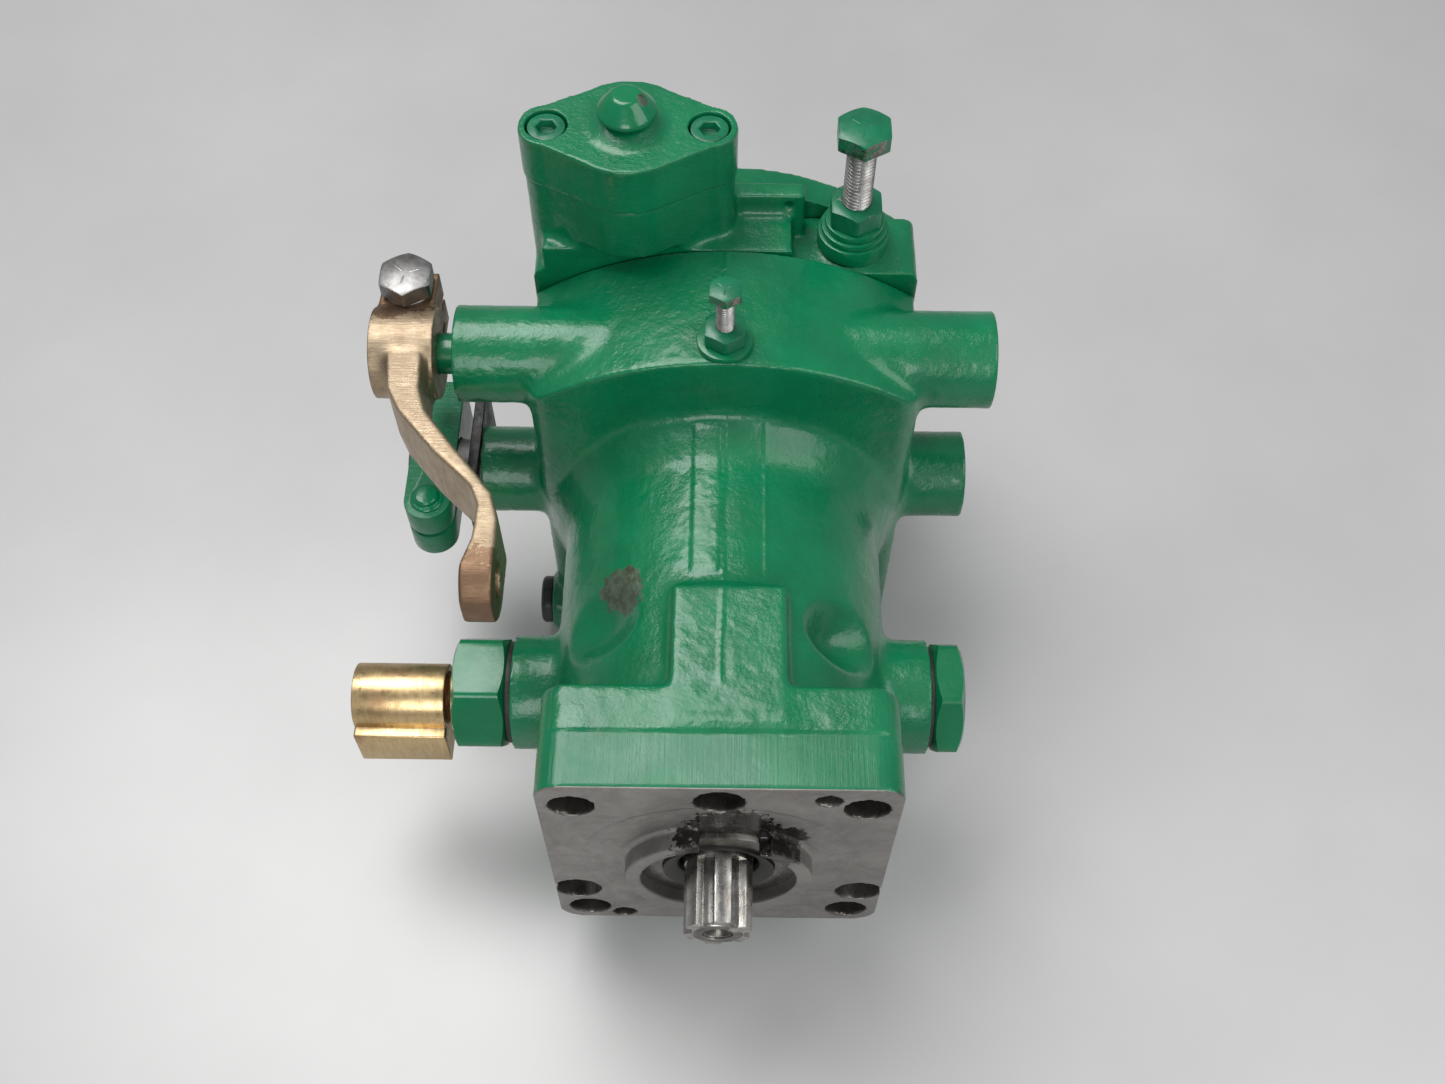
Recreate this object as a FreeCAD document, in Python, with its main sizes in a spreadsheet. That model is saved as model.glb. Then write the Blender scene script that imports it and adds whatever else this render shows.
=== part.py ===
import FreeCAD, Part
import math
import os
import re

import Sketcher

# Axial piston pump with a tilting swash plate, millimetres.
# The origin is the middle of the mounting face, on the shaft axis.
# +Y runs into the pump, +Z is up, and the shaft sticks out towards -Y.

os.makedirs("parts", exist_ok=True)
doc = FreeCAD.newDocument("AxialPistonPump")

# ---------------------------------------------------------------- sizes

SIZES = {
    # mounting flange
    "flange_side": 110, "flange_rise": 3.5, "flange_depth": 34, "flange_corner": 9,
    "bolt_spacing": 88.4, "bolt_hole": 14, "screw_hole": 15.5, "screw_depth": 22,
    "top_screw_height": 48, "low_screw_spread": 94.4, "low_screw_height": 26.5,
    "dowel_hole": 8, "dowel_side": 32.5, "dowel_height": 50,
    "pilot_outer": 60, "pilot_inner": 50, "pilot_length": 6.5,
    "notch_width": 22, "notch_side": 5,
    # neck and side ports
    "neck_radius": 56.5, "neck_bore": 46, "port_station": 60, "port_boss": 19.5,
    "port_reach": 70, "port_bore": 11, "gallery_radius": 7, "rib_half": 18,
    "rib_side": 2.5, "rib_end": 69, "valve_face": 80, "valve_depth": 4,
    # swash housing
    "box_front": 133, "box_depth": 49.4, "box_half": 66, "box_crest": 89,
    "box_arch": 110, "box_floor": 85, "box_wall": 12, "front_wall": 5,
    "trunnion_setback": 21, "control_height": 66, "control_boss": 16.5,
    "control_proud": 24.5, "trunnion_boss": 16, "trunnion_proud": 23,
    # rear block, cover and servo tower
    "gasket_depth": 0.6, "block_depth": 26.4, "block_half": 66.5, "block_top": 78,
    "cover_depth": 12, "cover_radius": 90, "cover_low": 58, "cover_middle": 20, "cover_high": 52,
    "pad_top": 88.5, "pad_end": 22.4,
    "rail_top": 97, "rail_depth": 7, "tower_side": 32, "tower_length": 71,
    "tower_width": 43, "tower_top": 112, "tower_cap": 18, "tower_bore": 11,
    "cap_screw_spacing": 52.5, "stop_side": 44, "hub_radius": 27,
    # shaft, barrel and pistons
    "shaft_out": 24, "spline_radius": 11, "spline_root": 8.6, "journal_radius": 12.5,
    "tail_radius": 10, "barrel_radius": 42, "barrel_length": 52,
    "piston_circle": 30, "piston_radius": 9, "piston_gap": 0.05, "ball_radius": 6.5,
    "ball_plane": 154, "slipper_drop": 7.85, "oil_gap": 0.15,
    # swash plate and its pins
    "swash_radius": 45, "swash_depth": 14, "swash_flat": 42, "cheek_depth": 8,
    "pin_radius": 11, "bush_wall": 3, "horn_height": 34,
    # control lever
    "control_radius": 7, "lever_height": 26, "lever_thick": 10.5, "lever_tip": 59,
    # adjusting screws
    "stop_size": 10, "stop_head_base": 124.5, "stop_tip": 46, "small_stop_size": 6,
    "small_head_base": 111, "small_tip": 76,
    # hydraulic fittings
    "fitting_flats": 36, "fitting_length": 18, "stub_radius": 9, "coupling_drop": 4.5,
    "coupling_radius": 11.5, "coupling_length": 31.5, "lug_front": 15, "lug_drop": 24,
    "lug_height": 18.5, "plug_length": 10,
}
DERIVED = {"control_reach": "(box_half + control_proud)", "trunnion_reach": "(box_half + trunnion_proud)"}
PISTONS = 7

sheet = doc.addObject("Spreadsheet::Sheet", "Sizes")
for row, (alias, amount) in enumerate(SIZES.items(), 1):
    sheet.set("A%d" % row, alias)
    sheet.set("B%d" % row, str(amount))
    sheet.setAlias("B%d" % row, alias)
doc.recompute()

BACK = "(box_front + box_depth)"
BLOCK = "(box_front + box_depth + gasket_depth)"
BLOCK_BACK = "(box_front + box_depth + gasket_depth + block_depth)"
COVER = "(box_front + box_depth + 2 * gasket_depth + block_depth)"
COVER_BACK = "(box_front + box_depth + 2 * gasket_depth + block_depth + cover_depth)"
TRUNNION = "(box_front + trunnion_setback)"
CONTROL = "(box_front + trunnion_setback + 1)"
TOWER = "(box_front + box_depth + gasket_depth + 14)"
SWASH_FACE = "(box_front + trunnion_setback + slipper_drop + oil_gap)"


def sized(text):
    """Point each size named in an expression at its cell in the sheet."""
    words = r"[a-z]+(?:_[a-z]+)*"
    spelled = re.sub(words, lambda word: DERIVED.get(word.group(), word.group()), str(text))
    return re.sub(words,
                  lambda word: "Sizes." + word.group() if word.group() in SIZES else word.group(),
                  spelled)


def bind(thing, **paths):
    """Bind properties to expressions over the sheet."""
    for path, text in paths.items():
        thing.setExpression(path, sized(text))
    return thing


def put(thing, spot, turn=None):
    """Stand a thing at a spot given as three expressions."""
    if turn is not None:
        thing.Placement = FreeCAD.Placement(FreeCAD.Vector(), turn)
    for letter, text in zip("xyz", spot):
        thing.setExpression("Placement.Base." + letter, sized(text))
    return thing


ALONG = {
    "X": FreeCAD.Rotation(FreeCAD.Vector(0, 1, 0), 90),
    "Y": FreeCAD.Rotation(FreeCAD.Vector(1, 0, 0), -90),
    "Z": FreeCAD.Rotation(),
}


def rod(name, radius, length, spot, along="Y"):
    """A cylinder that starts at a spot and runs along an axis."""
    thing = doc.addObject("Part::Cylinder", name)
    return put(bind(thing, Radius=radius, Height=length), spot, ALONG[along])


def taper(name, first, last, length, spot, along="Y"):
    """A cone frustum that starts at a spot and runs along an axis."""
    thing = doc.addObject("Part::Cone", name)
    return put(bind(thing, Radius1=first, Radius2=last, Height=length), spot, ALONG[along])


def slab(name, lengths, corner):
    """A box from its lowest corner."""
    thing = doc.addObject("Part::Box", name)
    return put(bind(thing, Length=lengths[0], Width=lengths[1], Height=lengths[2]), corner)


def hexagon(name, flats, length, spot, along="Z"):
    """A six-sided bar, by its width across flats."""
    thing = doc.addObject("Part::Prism", name)
    thing.Polygon = 6
    bind(thing, Circumradius="(%s) / 1.7320508" % flats, Height=length)
    return put(thing, spot, ALONG[along])


def join(name, pieces):
    """One shape from several."""
    thing = doc.addObject("Part::MultiFuse", name)
    thing.Shapes = pieces
    thing.Refine = True
    return thing


def cut(name, base, tools):
    """A base shape less its tools."""
    thing = doc.addObject("Part::Cut", name)
    thing.Base = base
    thing.Tool = tools[0] if len(tools) == 1 else join(name + "_tools", tools)
    thing.Refine = True
    return thing


def common(name, pieces):
    """What several shapes share."""
    thing = doc.addObject("Part::MultiCommon", name)
    thing.Shapes = pieces
    return thing


def rounded(name, base, radius, wanted):
    """Round the straight edges that a test picks out by middle and direction."""
    doc.recompute()
    thing = doc.addObject("Part::Fillet", name)
    thing.Base = base
    picks = []
    for index, edge in enumerate(base.Shape.Edges, 1):
        if edge.Curve.TypeId == "Part::GeomLine":
            if wanted(edge.CenterOfMass, edge.tangentAt(edge.FirstParameter)):
                picks.append((index, size(radius), size(radius)))
    thing.Edges = picks
    return thing


def size(alias):
    """The number a cell of the sheet holds."""
    return float(sheet.get(alias)) if alias in SIZES else float(alias)


def plane(body, role):
    """One of a body's own origin planes."""
    return next(item for item in body.Origin.OriginFeatures if item.Role == role)


def outline(body, name, role, corners, offset="0"):
    """A closed outline whose every corner is bound to the sheet."""
    sketch = body.newObject("Sketcher::SketchObject", name)
    sketch.AttachmentSupport = [(plane(body, role), "")]
    sketch.MapMode = "FlatFace"
    sketch.setExpression("AttachmentOffset.Base.z", sized(offset))
    count = len(corners)
    start = [FreeCAD.Vector(9 * math.cos(6.28 * (k + 0.3) / count),
                            9 * math.sin(6.28 * (k + 0.3) / count), 0) for k in range(count)]
    sketch.addGeometry([Part.LineSegment(start[k], start[(k + 1) % count])
                        for k in range(count)], False)
    for k in range(count):
        sketch.addConstraint(Sketcher.Constraint("Coincident", k, 2, (k + 1) % count, 1))
    for k, corner in enumerate(corners):
        for kind, now, text in (("DistanceX", start[k].x, corner[0]),
                                ("DistanceY", start[k].y, corner[1])):
            index = sketch.addConstraint(Sketcher.Constraint(kind, -1, 1, k, 1, now))
            sketch.setExpression("Constraints[%d]" % index, sized(text))
    return sketch


def turned(name, corners, spot=("0", "0", "0"), along="Y"):
    """A turned part from (radius, station) corners."""
    body = doc.addObject("PartDesign::Body", name)
    if along == "X":
        corners = [(station, radius) for radius, station in corners]
    sketch = outline(body, name + "_profile", "XZ_Plane" if along == "Z" else "XY_Plane", corners)
    spin = body.newObject("PartDesign::Revolution", name + "_turned")
    spin.Profile = sketch
    spin.ReferenceAxis = (sketch, ["H_Axis" if along == "X" else "V_Axis"])
    spin.Angle = 360
    sketch.Visibility = False
    return put(body, spot)


def sleeve(name, inner, outer, start, length, spot=("0", "0", "0"), along="Y"):
    """A plain ring."""
    end = "(%s) + (%s)" % (start, length)
    return turned(name, [(inner, start), (outer, start), (outer, end), (inner, end)], spot, along)


def plate(name, corners, start, thick, spot=("0", "0", "0")):
    """A flat plate drawn in plan and padded upwards."""
    body = doc.addObject("PartDesign::Body", name)
    sketch = outline(body, name + "_plan", "XY_Plane", corners, start)
    pad = body.newObject("PartDesign::Pad", name + "_pad")
    pad.Profile = sketch
    bind(pad, Length=thick)
    return put(body, spot)


SUBPARTS = []


def hand_in(thing, label):
    """Name a finished sub-part."""
    thing.Label = label
    SUBPARTS.append(thing)
    return thing


# ---------------------------------------------------------------- housing

flange = rounded("flange_rounded",
                 slab("flange_block", ("flange_side", "flange_depth", "flange_side + flange_rise"),
                      ("-flange_side / 2", "0", "-flange_side / 2")),
                 "flange_corner", lambda middle, way: abs(way.y) > 0.9)
neck = rod("neck", "neck_radius", "box_front - 8", ("0", "10", "0"))
shoulder = taper("shoulder", "neck_radius", "neck_radius + 7", "16",
                 ("0", "box_front - 15", "0"))
rib = slab("top_rib", ("2 * rib_half", "rib_end - 20", "20"),
           ("rib_side - rib_half", "20", "flange_side / 2 + flange_rise - 19.4"))
port_bosses = rod("port_bosses", "port_boss", "2 * port_reach",
                  ("-port_reach", "port_station", "0"), "X")
box_block = rounded("box_rounded",
                    slab("box_block", ("2 * box_half", "box_depth", "box_crest + box_floor"),
                         ("-box_half", "box_front", "-box_floor")),
                    "7", lambda middle, way: abs(way.z) > 0.9 and middle.y < 150)
box_arch = rod("box_arch_round", "box_arch", "box_depth", ("0", "box_front", "box_crest - box_arch"))
box = common("box_shell", [box_block, box_arch])
control_bosses = rod("control_bosses", "control_boss", "2 * control_reach",
                     ("-control_reach", CONTROL, "control_height"), "X")
trunnion_bosses = rod("trunnion_bosses", "trunnion_boss", "2 * trunnion_reach",
                      ("-trunnion_reach", TRUNNION, "0"), "X")
drain_boss = rod("drain_boss", "12", "14", ("-box_half - 2.5", "box_front + 4", "17 - box_floor"), "X")
pilot = sleeve("pilot_ring", "pilot_inner / 2", "pilot_outer / 2", "-pilot_length",
               "pilot_length + 1")

hollows = [
    slab("pilot_notch", ("notch_width", "pilot_length", "12"),
         ("notch_side - notch_width / 2", "-pilot_length", "pilot_inner / 2 - 3")),
    rod("seal_seat", "pilot_inner / 2", "16", ("0", "-8", "0")),
    rod("bearing_seat", "23.5", "15", ("0", "7", "0")),
    rod("shaft_bore", "15", "valve_face", ("0", "18", "0")),
    rod("barrel_bore", "neck_bore", "box_front + front_wall + 1 - valve_face + valve_depth",
        ("0", "valve_face - valve_depth", "0")),
    common("box_hollow", [
        slab("box_hollow_block",
             ("2 * (box_half - box_wall)", "box_depth", "box_crest + box_floor - 20"),
             ("box_wall - box_half", "box_front + front_wall", "10 - box_floor")),
        rod("box_hollow_arch", "box_arch - 10", "box_depth + 20",
            ("0", "box_front", "box_crest - box_arch"))]),
    rod("control_bore", "control_radius + 1", "control_reach + 80",
        ("-control_reach - 1", CONTROL, "control_height"), "X"),
    rod("control_bush_seat_left", "9", "22",
        ("-control_reach - 1", CONTROL, "control_height"), "X"),
    rod("control_bush_seat_right", "9", "20", ("60", CONTROL, "control_height"), "X"),
    rod("trunnion_bore", "pin_radius + bush_wall", "2 * trunnion_reach + 2",
        ("-trunnion_reach - 1", TRUNNION, "0"), "X"),
    rod("drain_bore", "7", "20", ("-box_half - 4", "box_front + 4", "17 - box_floor"), "X"),
    rod("small_stop_bore", "small_stop_size / 2 + 0.02", "30", ("0", "box_front + 9", "70"), "Z"),
    rod("top_screw_bore", "screw_hole / 2", "screw_depth", ("0", "-1", "top_screw_height"))]
for name, start in (("port_bore_left", "-port_reach - 1"), ("port_bore_right", "25")):
    hollows.append(rod(name, "port_bore", "port_reach - 24", (start, "port_station", "0"), "X"))
for side in (-1, 1):
    for turn in (-40, 0, 40):
        reach = "piston_circle * cos(%d)" % turn
        hollows.append(rod("gallery_%d_%d" % (side + 2, turn + 40), "gallery_radius",
                           "valve_face - port_station + 6",
                           ("%d * %s" % (side, reach), "port_station - 5",
                            "piston_circle * sin(%d)" % turn)))
    hollows.append(rod("low_screw_bore_%d" % (side + 2), "screw_hole / 2", "screw_depth",
                       ("%d * low_screw_spread / 2" % side, "-1", "-low_screw_height")))
    hollows.append(rod("dowel_bore_%d" % (side + 2), "dowel_hole / 2", "13",
                       ("%d * dowel_side" % side, "-1", "%d * dowel_height" % side)))
    for level in (-1, 1):
        hollows.append(rod("bolt_bore_%d_%d" % (side + 2, level + 2), "bolt_hole / 2",
                           "flange_depth + 2",
                           ("%d * bolt_spacing / 2" % side, "-1", "%d * bolt_spacing / 2" % level)))
COVER_SCREWS = [(side, level) for side in (-1, 1) 
                for level in ("-cover_low", "-cover_middle", "cover_middle", "cover_high")]
for k, (side, level) in enumerate(COVER_SCREWS):
    hollows.append(rod("housing_tap_%d" % k, "3", "16",
                       ("%d * (box_half - 6)" % side, "%s - 15" % BACK, level)))

outside = join("housing_outside", [flange, neck, shoulder, rib, port_bosses, box,
                                   control_bosses, trunnion_bosses, drain_boss, pilot])
hand_in(cut("housing_body", outside, hollows), "housing")

# ---------------------------------------------------------------- drive end

hand_in(turned("seal_carrier_body", [
    ("18", "-2"), ("24.95", "-2"), ("24.95", "6"), ("18", "6")]), "shaft_seal_carrier")
hand_in(turned("shaft_seal_body", [
    ("spline_radius + 2.2", "-1"), ("17.9", "-3"), ("17.9", "5.5"), ("15.5", "5.5"),
    ("15.5", "1.5"), ("spline_radius + 1.9", "1.5")]), "shaft_seal")
hand_in(sleeve("front_outer_ring", "19.6", "23.45", "8.2", "13.2"), "front_bearing_outer")
hand_in(sleeve("front_inner_ring", "journal_radius", "15.4", "8.2", "13.2"),
        "front_bearing_inner")

balls = []
for k in range(9):
    ball = doc.addObject("Part::Sphere", "front_ball_%d" % k)
    ball.Radius = 1.75
    balls.append(put(ball, ("17.5 * cos(%d)" % (40 * k), "14.8", "17.5 * sin(%d)" % (40 * k))))
for k in range(8):
    ball = doc.addObject("Part::Sphere", "rear_ball_%d" % k)
    ball.Radius = 2
    balls.append(put(ball, ("15.4 * cos(%d)" % (45 * k), "%s - 11" % BLOCK_BACK,
                            "15.4 * sin(%d)" % (45 * k))))
hand_in(join("ball_set", balls), "bearing_balls")

shaft_core = turned("shaft_core", [
    ("5", "-shaft_out"), ("spline_root - 0.6", "-shaft_out"), ("spline_root", "1 - shaft_out"),
    ("spline_root", "-1.5"), ("spline_radius", "-1.5"), ("journal_radius", "6.5"),
    ("journal_radius", "24"), ("12", "26"), ("12", "%s + 14" % TRUNNION),
    ("tail_radius", "%s + 14" % TRUNNION), ("tail_radius", "%s - 4" % BLOCK_BACK),
    ("0", "%s - 4" % BLOCK_BACK), ("0", "8 - shaft_out"), ("2.4", "7 - shaft_out"),
    ("3", "4 - shaft_out"), ("5", "0.8 - shaft_out")])
teeth = []
for k in range(6):
    tooth = slab("spline_tooth_%d" % k, ("5.4", "shaft_out - 0.4", "spline_radius"),
                 ("0", "0", "0"))
    turn = FreeCAD.Rotation(FreeCAD.Vector(0, 1, 0), 60 * k + 8)
    put(tooth, ("-2.7 * cos(%d)" % (60 * k + 8), "0.4 - shaft_out", "2.7 * sin(%d)" % (60 * k + 8)),
        turn)
    teeth.append(tooth)
tooth_ring = rod("tooth_round", "spline_radius", "shaft_out", ("0", "0.4 - shaft_out", "0"))
tooth_hole = rod("tooth_hollow", "spline_root - 2", "shaft_out + 2", ("0", "-shaft_out - 1", "0"))
spline = cut("spline_teeth", common("spline_trimmed", [join("spline_bars", teeth), tooth_ring]),
             [tooth_hole])
hand_in(join("shaft_body", [shaft_core, spline]), "drive_shaft")

# ---------------------------------------------------------------- rotating group

valve_disc = sleeve("valve_disc", "14", "barrel_radius", "valve_face - valve_depth",
                    "valve_depth")
slots = []
for side in (-1, 1):
    for turn in (-40, -20, 0, 20, 40):
        slots.append(rod("valve_slot_%d_%d" % (side + 2, turn + 40), "4.5", "valve_depth + 2",
                         ("%d * piston_circle * cos(%d)" % (side, turn),
                          "valve_face - valve_depth - 1", "piston_circle * sin(%d)" % turn)))
hand_in(cut("valve_plate_body", valve_disc, slots), "valve_plate")

barrel_core = sleeve("barrel_core", "12.02", "barrel_radius", "valve_face", "barrel_length")
bores = [rod("spring_room", "19", "24", ("0", "valve_face + barrel_length - 20", "0"))]
for k in range(PISTONS):
    angle = 360 / PISTONS * k + 90
    at_x = "piston_circle * cos(%.4f)" % angle
    at_z = "piston_circle * sin(%.4f)" % angle
    bores.append(rod("cylinder_%d" % k, "piston_radius + piston_gap", "barrel_length",
                     (at_x, "valve_face + 6", at_z)))
    bores.append(rod("feed_%d" % k, "4.5", "8", (at_x, "valve_face - 1", at_z)))
hand_in(cut("barrel_body", barrel_core, bores), "cylinder_barrel")

for k in range(PISTONS):
    angle = 360 / PISTONS * k + 90
    centre = ("piston_circle * cos(%.4f)" % angle, TRUNNION, "piston_circle * sin(%.4f)" % angle)
    stem = turned("piston_stem_%d" % (k + 1), [
        ("0", "-55"), ("piston_radius - 0.8", "-55"), ("piston_radius", "-54.2"),
        ("piston_radius", "-13"), ("3.8", "-8.5"), ("3.8", "-3"), ("0", "-3")])
    ball = bind(doc.addObject("Part::Sphere", "piston_ball_%d" % (k + 1)), Radius="ball_radius")
    hand_in(put(join("piston_body_%d" % (k + 1), [stem, ball]), centre), "piston_%d" % (k + 1))
    shoe = turned("slipper_blank_%d" % (k + 1), [
        ("0", "-3.5"), ("8.4", "-3.5"), ("8.4", "3.6"), ("11", "3.6"), ("11", "slipper_drop"),
        ("0", "slipper_drop")])
    socket = bind(doc.addObject("Part::Sphere", "slipper_socket_%d" % (k + 1)),
                  Radius="ball_radius + piston_gap")
    hand_in(put(cut("slipper_body_%d" % (k + 1), shoe, [socket]), centre), "slipper_%d" % (k + 1))

keeper = sleeve("retainer_disc", "20", "piston_circle + 10.5", "%s - 0.4" % TRUNNION, "3.6")
eyes = [rod("retainer_eye_%d" % k, "9.5", "8",
            ("piston_circle * cos(%.4f)" % (360 / PISTONS * k + 90), "%s - 3" % TRUNNION,
             "piston_circle * sin(%.4f)" % (360 / PISTONS * k + 90))) for k in range(PISTONS)]
hand_in(cut("retainer_body", keeper, eyes), "slipper_retainer")

guide = join("guide_outside", [
    put(bind(doc.addObject("Part::Sphere", "guide_ball"), Radius="18.5"), ("0", TRUNNION, "0")),
    rod("guide_sleeve", "15", "14", ("0", "%s - 14" % TRUNNION, "0"))])
hand_in(cut("guide_body", guide, [
    rod("guide_bore", "12.02", "60", ("0", "%s - 30" % TRUNNION, "0")),
    rod("guide_face", "30", "20", ("0", "%s + 6" % TRUNNION, "0"))]), "ball_guide")



def spring(name, middle, wire, pitch, length, spot, along):
    """A coil spring of round wire."""
    body = doc.addObject("PartDesign::Body", name)
    section = body.newObject("Sketcher::SketchObject", name + "_wire")
    section.AttachmentSupport = [(plane(body, "XZ_Plane"), "")]
    section.MapMode = "FlatFace"
    section.addGeometry(Part.Circle(FreeCAD.Vector(5, 1, 0), FreeCAD.Vector(0, 0, 1), 1), False)
    for kind, spare, text in (("DistanceX", 5, middle), ("DistanceY", 1, wire)):
        index = section.addConstraint(Sketcher.Constraint(kind, -1, 1, 0, 3, spare))
        section.setExpression("Constraints[%d]" % index, sized(text))
    index = section.addConstraint(Sketcher.Constraint("Radius", 0, 1))
    section.setExpression("Constraints[%d]" % index, sized(wire))
    coil = body.newObject("PartDesign::AdditiveHelix", name + "_coil")
    coil.Profile = section
    coil.ReferenceAxis = (section, ["V_Axis"])
    coil.Mode = "pitch-height-angle"
    bind(coil, Pitch=pitch, Height=length)
    return put(body, spot, ALONG[along])


coil = spring("barrel_coil", "15.6", "1.3", "4.6", "23",
              ("0", "valve_face + barrel_length - 19.6", "0"), "Y")
hand_in(coil, "barrel_spring")

# ---------------------------------------------------------------- swash plate

disc = common("swash_trimmed", [
    rod("swash_disc", "swash_radius", "swash_depth", ("0", SWASH_FACE, "0")),
    slab("swash_height", ("120", "80", "2 * swash_flat"), ("-60", TRUNNION, "-swash_flat"))])
CHEEK = "(box_half - box_wall - 0.6)"
WEB = "(box_half - box_wall - swash_radius + 5)"
swash_bits = [disc]
for side in (-1, 1):
    swash_bits.append(slab("cheek_%d" % (side + 2),
                           ("cheek_depth", "slipper_drop + 36 - 14", "32"),
                           ("%s - cheek_depth" % CHEEK if side > 0 else "-%s" % CHEEK,
                            "%s - 12" % TRUNNION, "-16")))
    swash_bits.append(slab("cheek_web_%d" % (side + 2), (WEB, "swash_depth", "32"),
                           ("%s - %s" % (CHEEK, WEB) if side > 0 else "-%s" % CHEEK, SWASH_FACE, "-16")))
swash_bits.append(slab("servo_horn", ("10", "22", "12"), ("-tower_side - 8", "%s - 25" % TOWER, "-8")))
swash_bits.append(rod("servo_horn_nose", "6", "10", ("-tower_side - 8", TOWER, "0"), "X"))
swash_bits.append(slab("stop_horn", ("12", "30", "14"), ("stop_side - 6", "%s - 25" % TOWER, "-8")))
swash_bits.append(slab("stop_horn_post", ("12", "12", "horn_height + 8"),
                       ("stop_side - 6", "%s - 7" % TOWER, "-8")))
hand_in(cut("swash_body", join("swash_outside", swash_bits), [
    rod("swash_eye", "18", "60", ("0", TRUNNION, "0")),
    rod("swash_pin_bore", "pin_radius", "140", ("-70", TRUNNION, "0"), "X"),
    ]), "swash_plate")

PIN_START = "(box_wall + cheek_depth - box_half)"
left_pin = turned("left_pin", [
    ("0", PIN_START), ("pin_radius", PIN_START), ("pin_radius", "-trunnion_reach - 27"),
    ("pin_radius - 1", "-trunnion_reach - 28"), ("0", "-trunnion_reach - 28")],
    ("0", TRUNNION, "0"), "X")
right_pin = turned("right_pin", [
    ("0", "0"), ("pin_radius", "0"), ("pin_radius", "36"), ("0", "36")],
    ("box_half - box_wall - cheek_depth", TRUNNION, "0"), "X")
hand_in(join("pin_pair", [left_pin, right_pin]), "trunnion_pins")
hand_in(join("trunnion_bush_pair", [
    sleeve("trunnion_bush_%d" % (side + 2), "pin_radius + piston_gap", "pin_radius + bush_wall",
           "%s" % ("box_wall - box_half - 30" if side < 0 else "box_half - box_wall + 0.5"), "29",
           ("0", TRUNNION, "0"), "X") for side in (-1, 1)]), "trunnion_bushes")
hand_in(rod("trunnion_end_cap", "pin_radius + bush_wall", "4", ("trunnion_reach - 4", TRUNNION, "0"), "X"),
        "trunnion_cap")
keeper_plate = slab("keeper_blank", ("4", "50", "28"), ("-trunnion_reach - 5", "%s - 20" % TRUNNION, "-14"))
hand_in(cut("keeper_body", keeper_plate, [
    rod("keeper_eye", "pin_radius + 0.6", "8", ("-trunnion_reach - 7", TRUNNION, "0"), "X")]),
    "trunnion_keeper_plate")
ARM = "(-trunnion_reach - 27)"
arm = join("arm_outside", [
    slab("arm_bar", ("17", "54.4", "24"), (ARM, "%s - 22.4" % TRUNNION, "-12")),
    rod("arm_nose", "8.5", "24", ("%s + 8.5" % ARM, "%s - 22.4" % TRUNNION, "-12"), "Z")])
hand_in(cut("arm_body", arm, [
    rod("arm_eye", "pin_radius", "30", ("%s - 2" % ARM, TRUNNION, "0"), "X"),
    rod("arm_pin_bore", "4", "30", ("%s + 8.5" % ARM, "%s - 22.4" % TRUNNION, "-15"), "Z"),
    slab("arm_slit", ("24", "22.4", "1.6"), ("%s - 3" % ARM, "%s - 31.4" % TRUNNION, "-0.8"))]),
    "trunnion_arm")
hand_in(turned("arm_pin_body", [
    ("0", "-13.5"), ("6", "-13.5"), ("6", "-12"), ("4", "-12"), ("4", "12"), ("6", "12"),
    ("6", "12.8"), ("4.5", "13.2"), ("4.5", "14.2"), ("3.8", "15"), ("0", "15")],
    ("%s + 8.5" % ARM, "%s - 22.4" % TRUNNION, "0"), "Z"), "arm_clamp_pin")

# ---------------------------------------------------------------- control shaft and lever

LEVER = "(-control_reach - 29)"
control = join("control_outside", [
    turned("control_rod", [
        ("0", "78"), ("control_radius", "78"), ("control_radius", "1 - control_reach - 29"),
        ("control_radius - 1", "-control_reach - 29"), ("0", "-control_reach - 29")],
        ("0", CONTROL, "control_height"), "X"),
    slab("control_finger", ("12", "14", "8"), ("-6", "%s - 14.5" % CONTROL, "control_height - 4")),
    slab("spool_finger", ("8", "12", "7"), ("-4", CONTROL, "control_height - 11"))])
hand_in(control, "control_shaft")
hand_in(join("control_bush_pair", [
    sleeve("control_bush_left", "control_radius + piston_gap", "9", "-control_reach", "20",
           ("0", CONTROL, "control_height"), "X"),
    sleeve("control_bush_right", "control_radius + piston_gap", "9", "60.5", "19",
           ("0", CONTROL, "control_height"), "X")]), "control_bushes")

lever_arm = plate("lever_arm", [
    ("-control_reach - 9.5", "%s - 10" % CONTROL), ("-control_reach - 8.5", "%s - 25" % CONTROL),
    ("-control_reach - 5.5", "%s - 34" % CONTROL), ("5.7 - control_reach", "%s - 49" % CONTROL),
    ("12.5 - control_reach", "%s - 57.5" % CONTROL), ("18.5 - control_reach", "%s - 65.5" % CONTROL),
    ("21.5 - control_reach", "%s - 75" % CONTROL), ("21.5 - control_reach", "lever_tip - 6"),
    ("21.5 - lever_thick - control_reach", "lever_tip - 6"),
    ("21.5 - lever_thick - control_reach", "lever_tip + 4"),
    ("13.9 - control_reach", "%s - 82" % CONTROL), ("14.3 - control_reach", "%s - 70" % CONTROL),
    ("11.3 - control_reach", "%s - 63" % CONTROL), ("-control_reach - 1.8", "%s - 50" % CONTROL),
    ("-control_reach - 14.9", "%s - 34" % CONTROL), ("-control_reach - 19.5", "%s - 25" % CONTROL),
    ("-control_reach - 21.5", "%s - 10" % CONTROL)],
    "control_height - lever_height / 2", "lever_height")
lever_hub = rod("lever_hub", "15.5", "21.5", ("1 + %s" % LEVER, CONTROL, "control_height"), "X")
lever_ears = slab("lever_ears", ("19", "26", "24"), ("2 + %s" % LEVER, CONTROL, "control_height - 12"))
lever_nose = rod("lever_nose_round", "lever_height / 2", "60",
                 ("-control_reach - 20", "lever_tip + 6", "control_height"), "X")
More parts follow.
